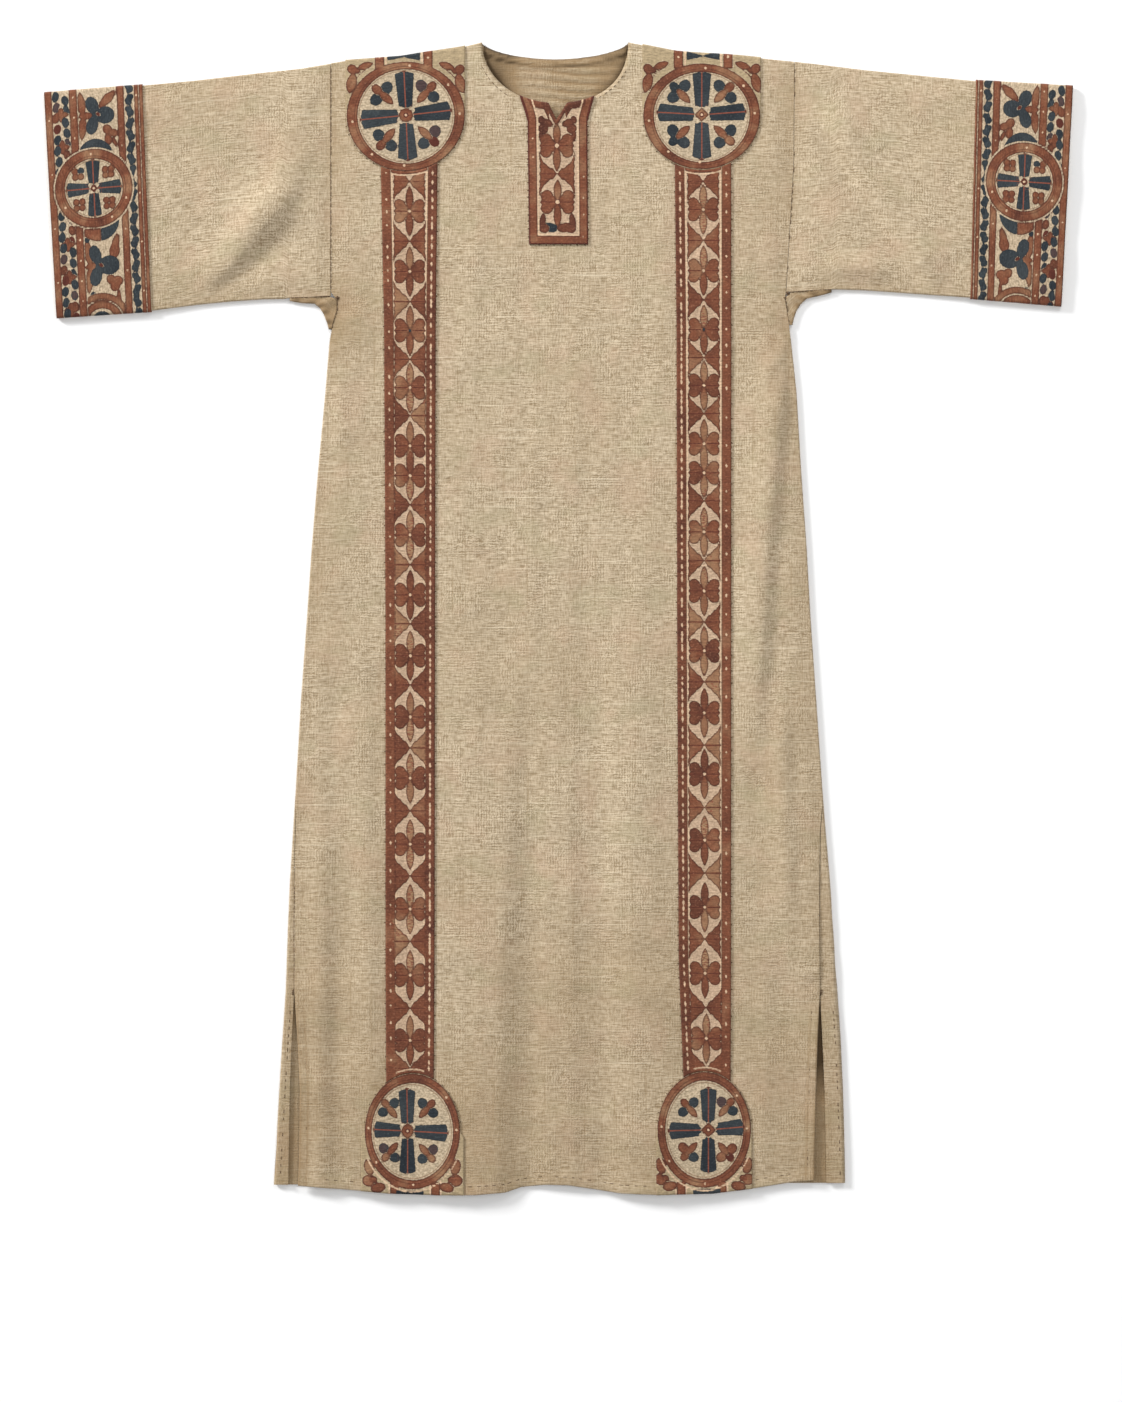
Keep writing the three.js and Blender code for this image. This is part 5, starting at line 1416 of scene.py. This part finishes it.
def on_cloth(ends, raised, radius):
    """Rows for threads on the front's outer face, raised by so much at their two ends."""
    heights = [on_front(*one.T)[:, 2] + up for one, up in zip(ends, raised)]
    return laid(ends, heights, radius)


def slanting(points, outward, apart, long=2.6):
    """Rows for threads over the edge of a tapestry, from its face down to the cloth beside it."""
    start, end = running(points, apart, 0.8, 1.0)
    along = (end - start) / np.linalg.norm(end - start, axis=1, keepdims=True)
    middle, out = (start + end) / 2, np.stack([along[:, 1], -along[:, 0]], axis=1) * outward
    ends = middle - out * long * 0.5, middle + out * long * 0.5 + along * 0.9
    return on_cloth(ends, (SEAM + TAPESTRY + 0.15, 0.25), 0.42)


stitch_source = np.random.default_rng(5)
stitches = []
armhole_y, seam_y = np.linspace(621, 368, 80), np.linspace(-215, -418, 60)[25:]
slit_y = np.linspace(-440, -628, 60)
for side, way in SIDES.items():
    apart, kept = ARMHOLE_STITCHES[side]
    seam = np.stack([way * (armhole(side, armhole_y) + 0.2), armhole_y], axis=1)
    stitches.append(level(running(seam, apart, 4.2, kept), SEAM_TOP - 0.05, HALF_THREAD))
    seam = np.stack([side_seam(side, seam_y), seam_y], axis=1)
    stitches.append(level(running(seam, 5.4, 3.6, 0.95), SEAM_TOP, HALF_THREAD))
    edge = np.stack([side_seam(side, slit_y) - way * 8.3, slit_y], axis=1)
    stitches.append(on_cloth(running(edge, 8.2, 3.2, 0.85), (-0.1, -0.1), HALF_FINE))
    strip = np.stack([body_side(side, slit_y) - way * 6.5, slit_y], axis=1)
    stitches.append(level(running(strip, 8.6, 3.2, 0.8), SEAM_TOP - 0.05, HALF_FINE))
    slit_end = np.array([side_seam(side, SLIT_TOP - 1), SLIT_TOP - 1.5])
    stitches.append(crossing(slit_end, SLIT_KNOT, 4.4, 0.55))
    for column, outward in ((1, -way), (2, way)):
        stitches.append(slanting(CLAVI[side][:, [column, 0]], outward, 15))
for low, high, count in ((-283, -224, 20), (-104, 108, 60), (220, 282, 20)):
    hem_x = np.linspace(low, high, count)
    hem = np.stack([hem_x, read(FRONT_HEM, hem_x) + HEM - 0.4], axis=1)
    stitches.append(on_cloth(running(hem, 9.0, 3.4, 0.85), (-0.05, -0.05), HALF_FINE))
swing = np.linspace(0.04, np.pi - 0.04, 200)
neck_line = np.stack([NECK_CENTRE - (NECK_HALF_WIDTH + 5.2) * np.cos(swing),
                      BODY_TOP - (FRONT_NECK_DEPTH + 5.4) * np.sin(swing) ** 0.93], axis=1)
beside_panel = np.abs(neck_line[:, 0] + 1.5) > 46
left_part, right_part = (neck_line[beside_panel & half] for half in (swing < 1.5, swing > 1.5))
for part in (left_part[20:], right_part[:-20]):
    stitches.append(on_cloth(running(part, 6.4, 2.8, 0.9), (-0.05, -0.05), 0.36))
panel_edge = np.concatenate([NECK_PANEL[1:, [1, 0]], NECK_PANEL[:0:-1, [2, 0]]])
stitches.append(slanting(panel_edge, 1, 9))
for roundels, first_turn, last_turn in ((SHOULDER_ROUNDELS, 185, 355), (HEM_ROUNDELS, 5, 175)):
    for centre_x, centre_y, radius_x, radius_y, _ in roundels.values():
        turn = np.radians(np.linspace(first_turn, last_turn, 120))
        oval_x, oval_y = centre_x + radius_x * np.cos(turn), centre_y + radius_y * np.sin(turn)
        stitches.append(slanting(np.stack([oval_x, oval_y], axis=1), 1, 11))
for side in SIDES:
    seam = GUSSETS[side][:, 2:]
    stitches.append(level(running(seam, 5.2, 3.2, 0.9), SEAM_TOP, 0.42))
    stitches.append(crossing(seam[3], GUSSET_KNOT, 4.3, 0.6))
    stitches.append(crossing(UNDERARM_CORNERS[side], CORNER_KNOT, 4.2, 0.8))

sewing = threads("sewing_threads", stitches)
brown_thread, _, _ = plain_material("brown_linen_thread", {
    "Base Color": linear("#5C4630"), "Roughness": 0.85})
sewing.data.materials.append(brown_thread)
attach(sewing, "root")

# ---------- Floor, light and camera ----------
# The tunic lies on a plain pale floor under a broad soft light from above its neck, and is seen
# from straight above.

bpy.ops.mesh.primitive_plane_add(size=12, location=(0, 0, -0.0005))
floor = bpy.context.object
floor.name = "floor"
paper, _, _ = plain_material("pale_floor", {"Base Color": linear("#FAFAFA"), "Roughness": 0.9})
floor.data.materials.append(paper)


def soft_light(name, place, aim, size, power):
    """A square area light of a size in metres, turned from its place to what it lights."""
    lamp = bpy.data.lights.new(name, "AREA")
    lamp.size, lamp.energy = size, power
    light = bpy.data.objects.new(name, lamp)
    light.location = place
    light.rotation_euler = (Vector(aim) - Vector(place)).to_track_quat("-Z", "Y").to_euler()
    bpy.context.scene.collection.objects.link(light)


soft_light("window_light", (-8.4, 6.3, 3.9), (0, 0, 0), 2.6, 1480)
soft_light("shelf_light", (0.9, 2.6, 2.2), (0.3, 0.2, 0), 1.4, 34)
soft_light("ceiling_light", (0.5, -0.3, 3.6), (0.1, -0.1, 0), 2.4, 28)
sky = bpy.data.worlds.new("studio")
sky.use_nodes = True
sky.node_tree.nodes["Background"].inputs["Color"].default_value = (1, 1, 1, 1)
sky.node_tree.nodes["Background"].inputs["Strength"].default_value = 0.45
bpy.context.scene.world = sky

VIEW_CENTRE = (0.0028, -0.0931)
VIEW_HEIGHT = 1.582            # metres of floor from the top of the view to its foot
CAMERA_HEIGHT = 6.0
optics = bpy.data.cameras.new("camera")
optics.sensor_fit = "VERTICAL"
optics.sensor_height = 24
optics.lens = optics.sensor_height * CAMERA_HEIGHT / VIEW_HEIGHT
camera = bpy.data.objects.new("camera", optics)
camera.location = (*VIEW_CENTRE, CAMERA_HEIGHT)
bpy.context.scene.collection.objects.link(camera)
bpy.context.scene.camera = camera
bpy.context.scene.view_settings.view_transform = "Standard"
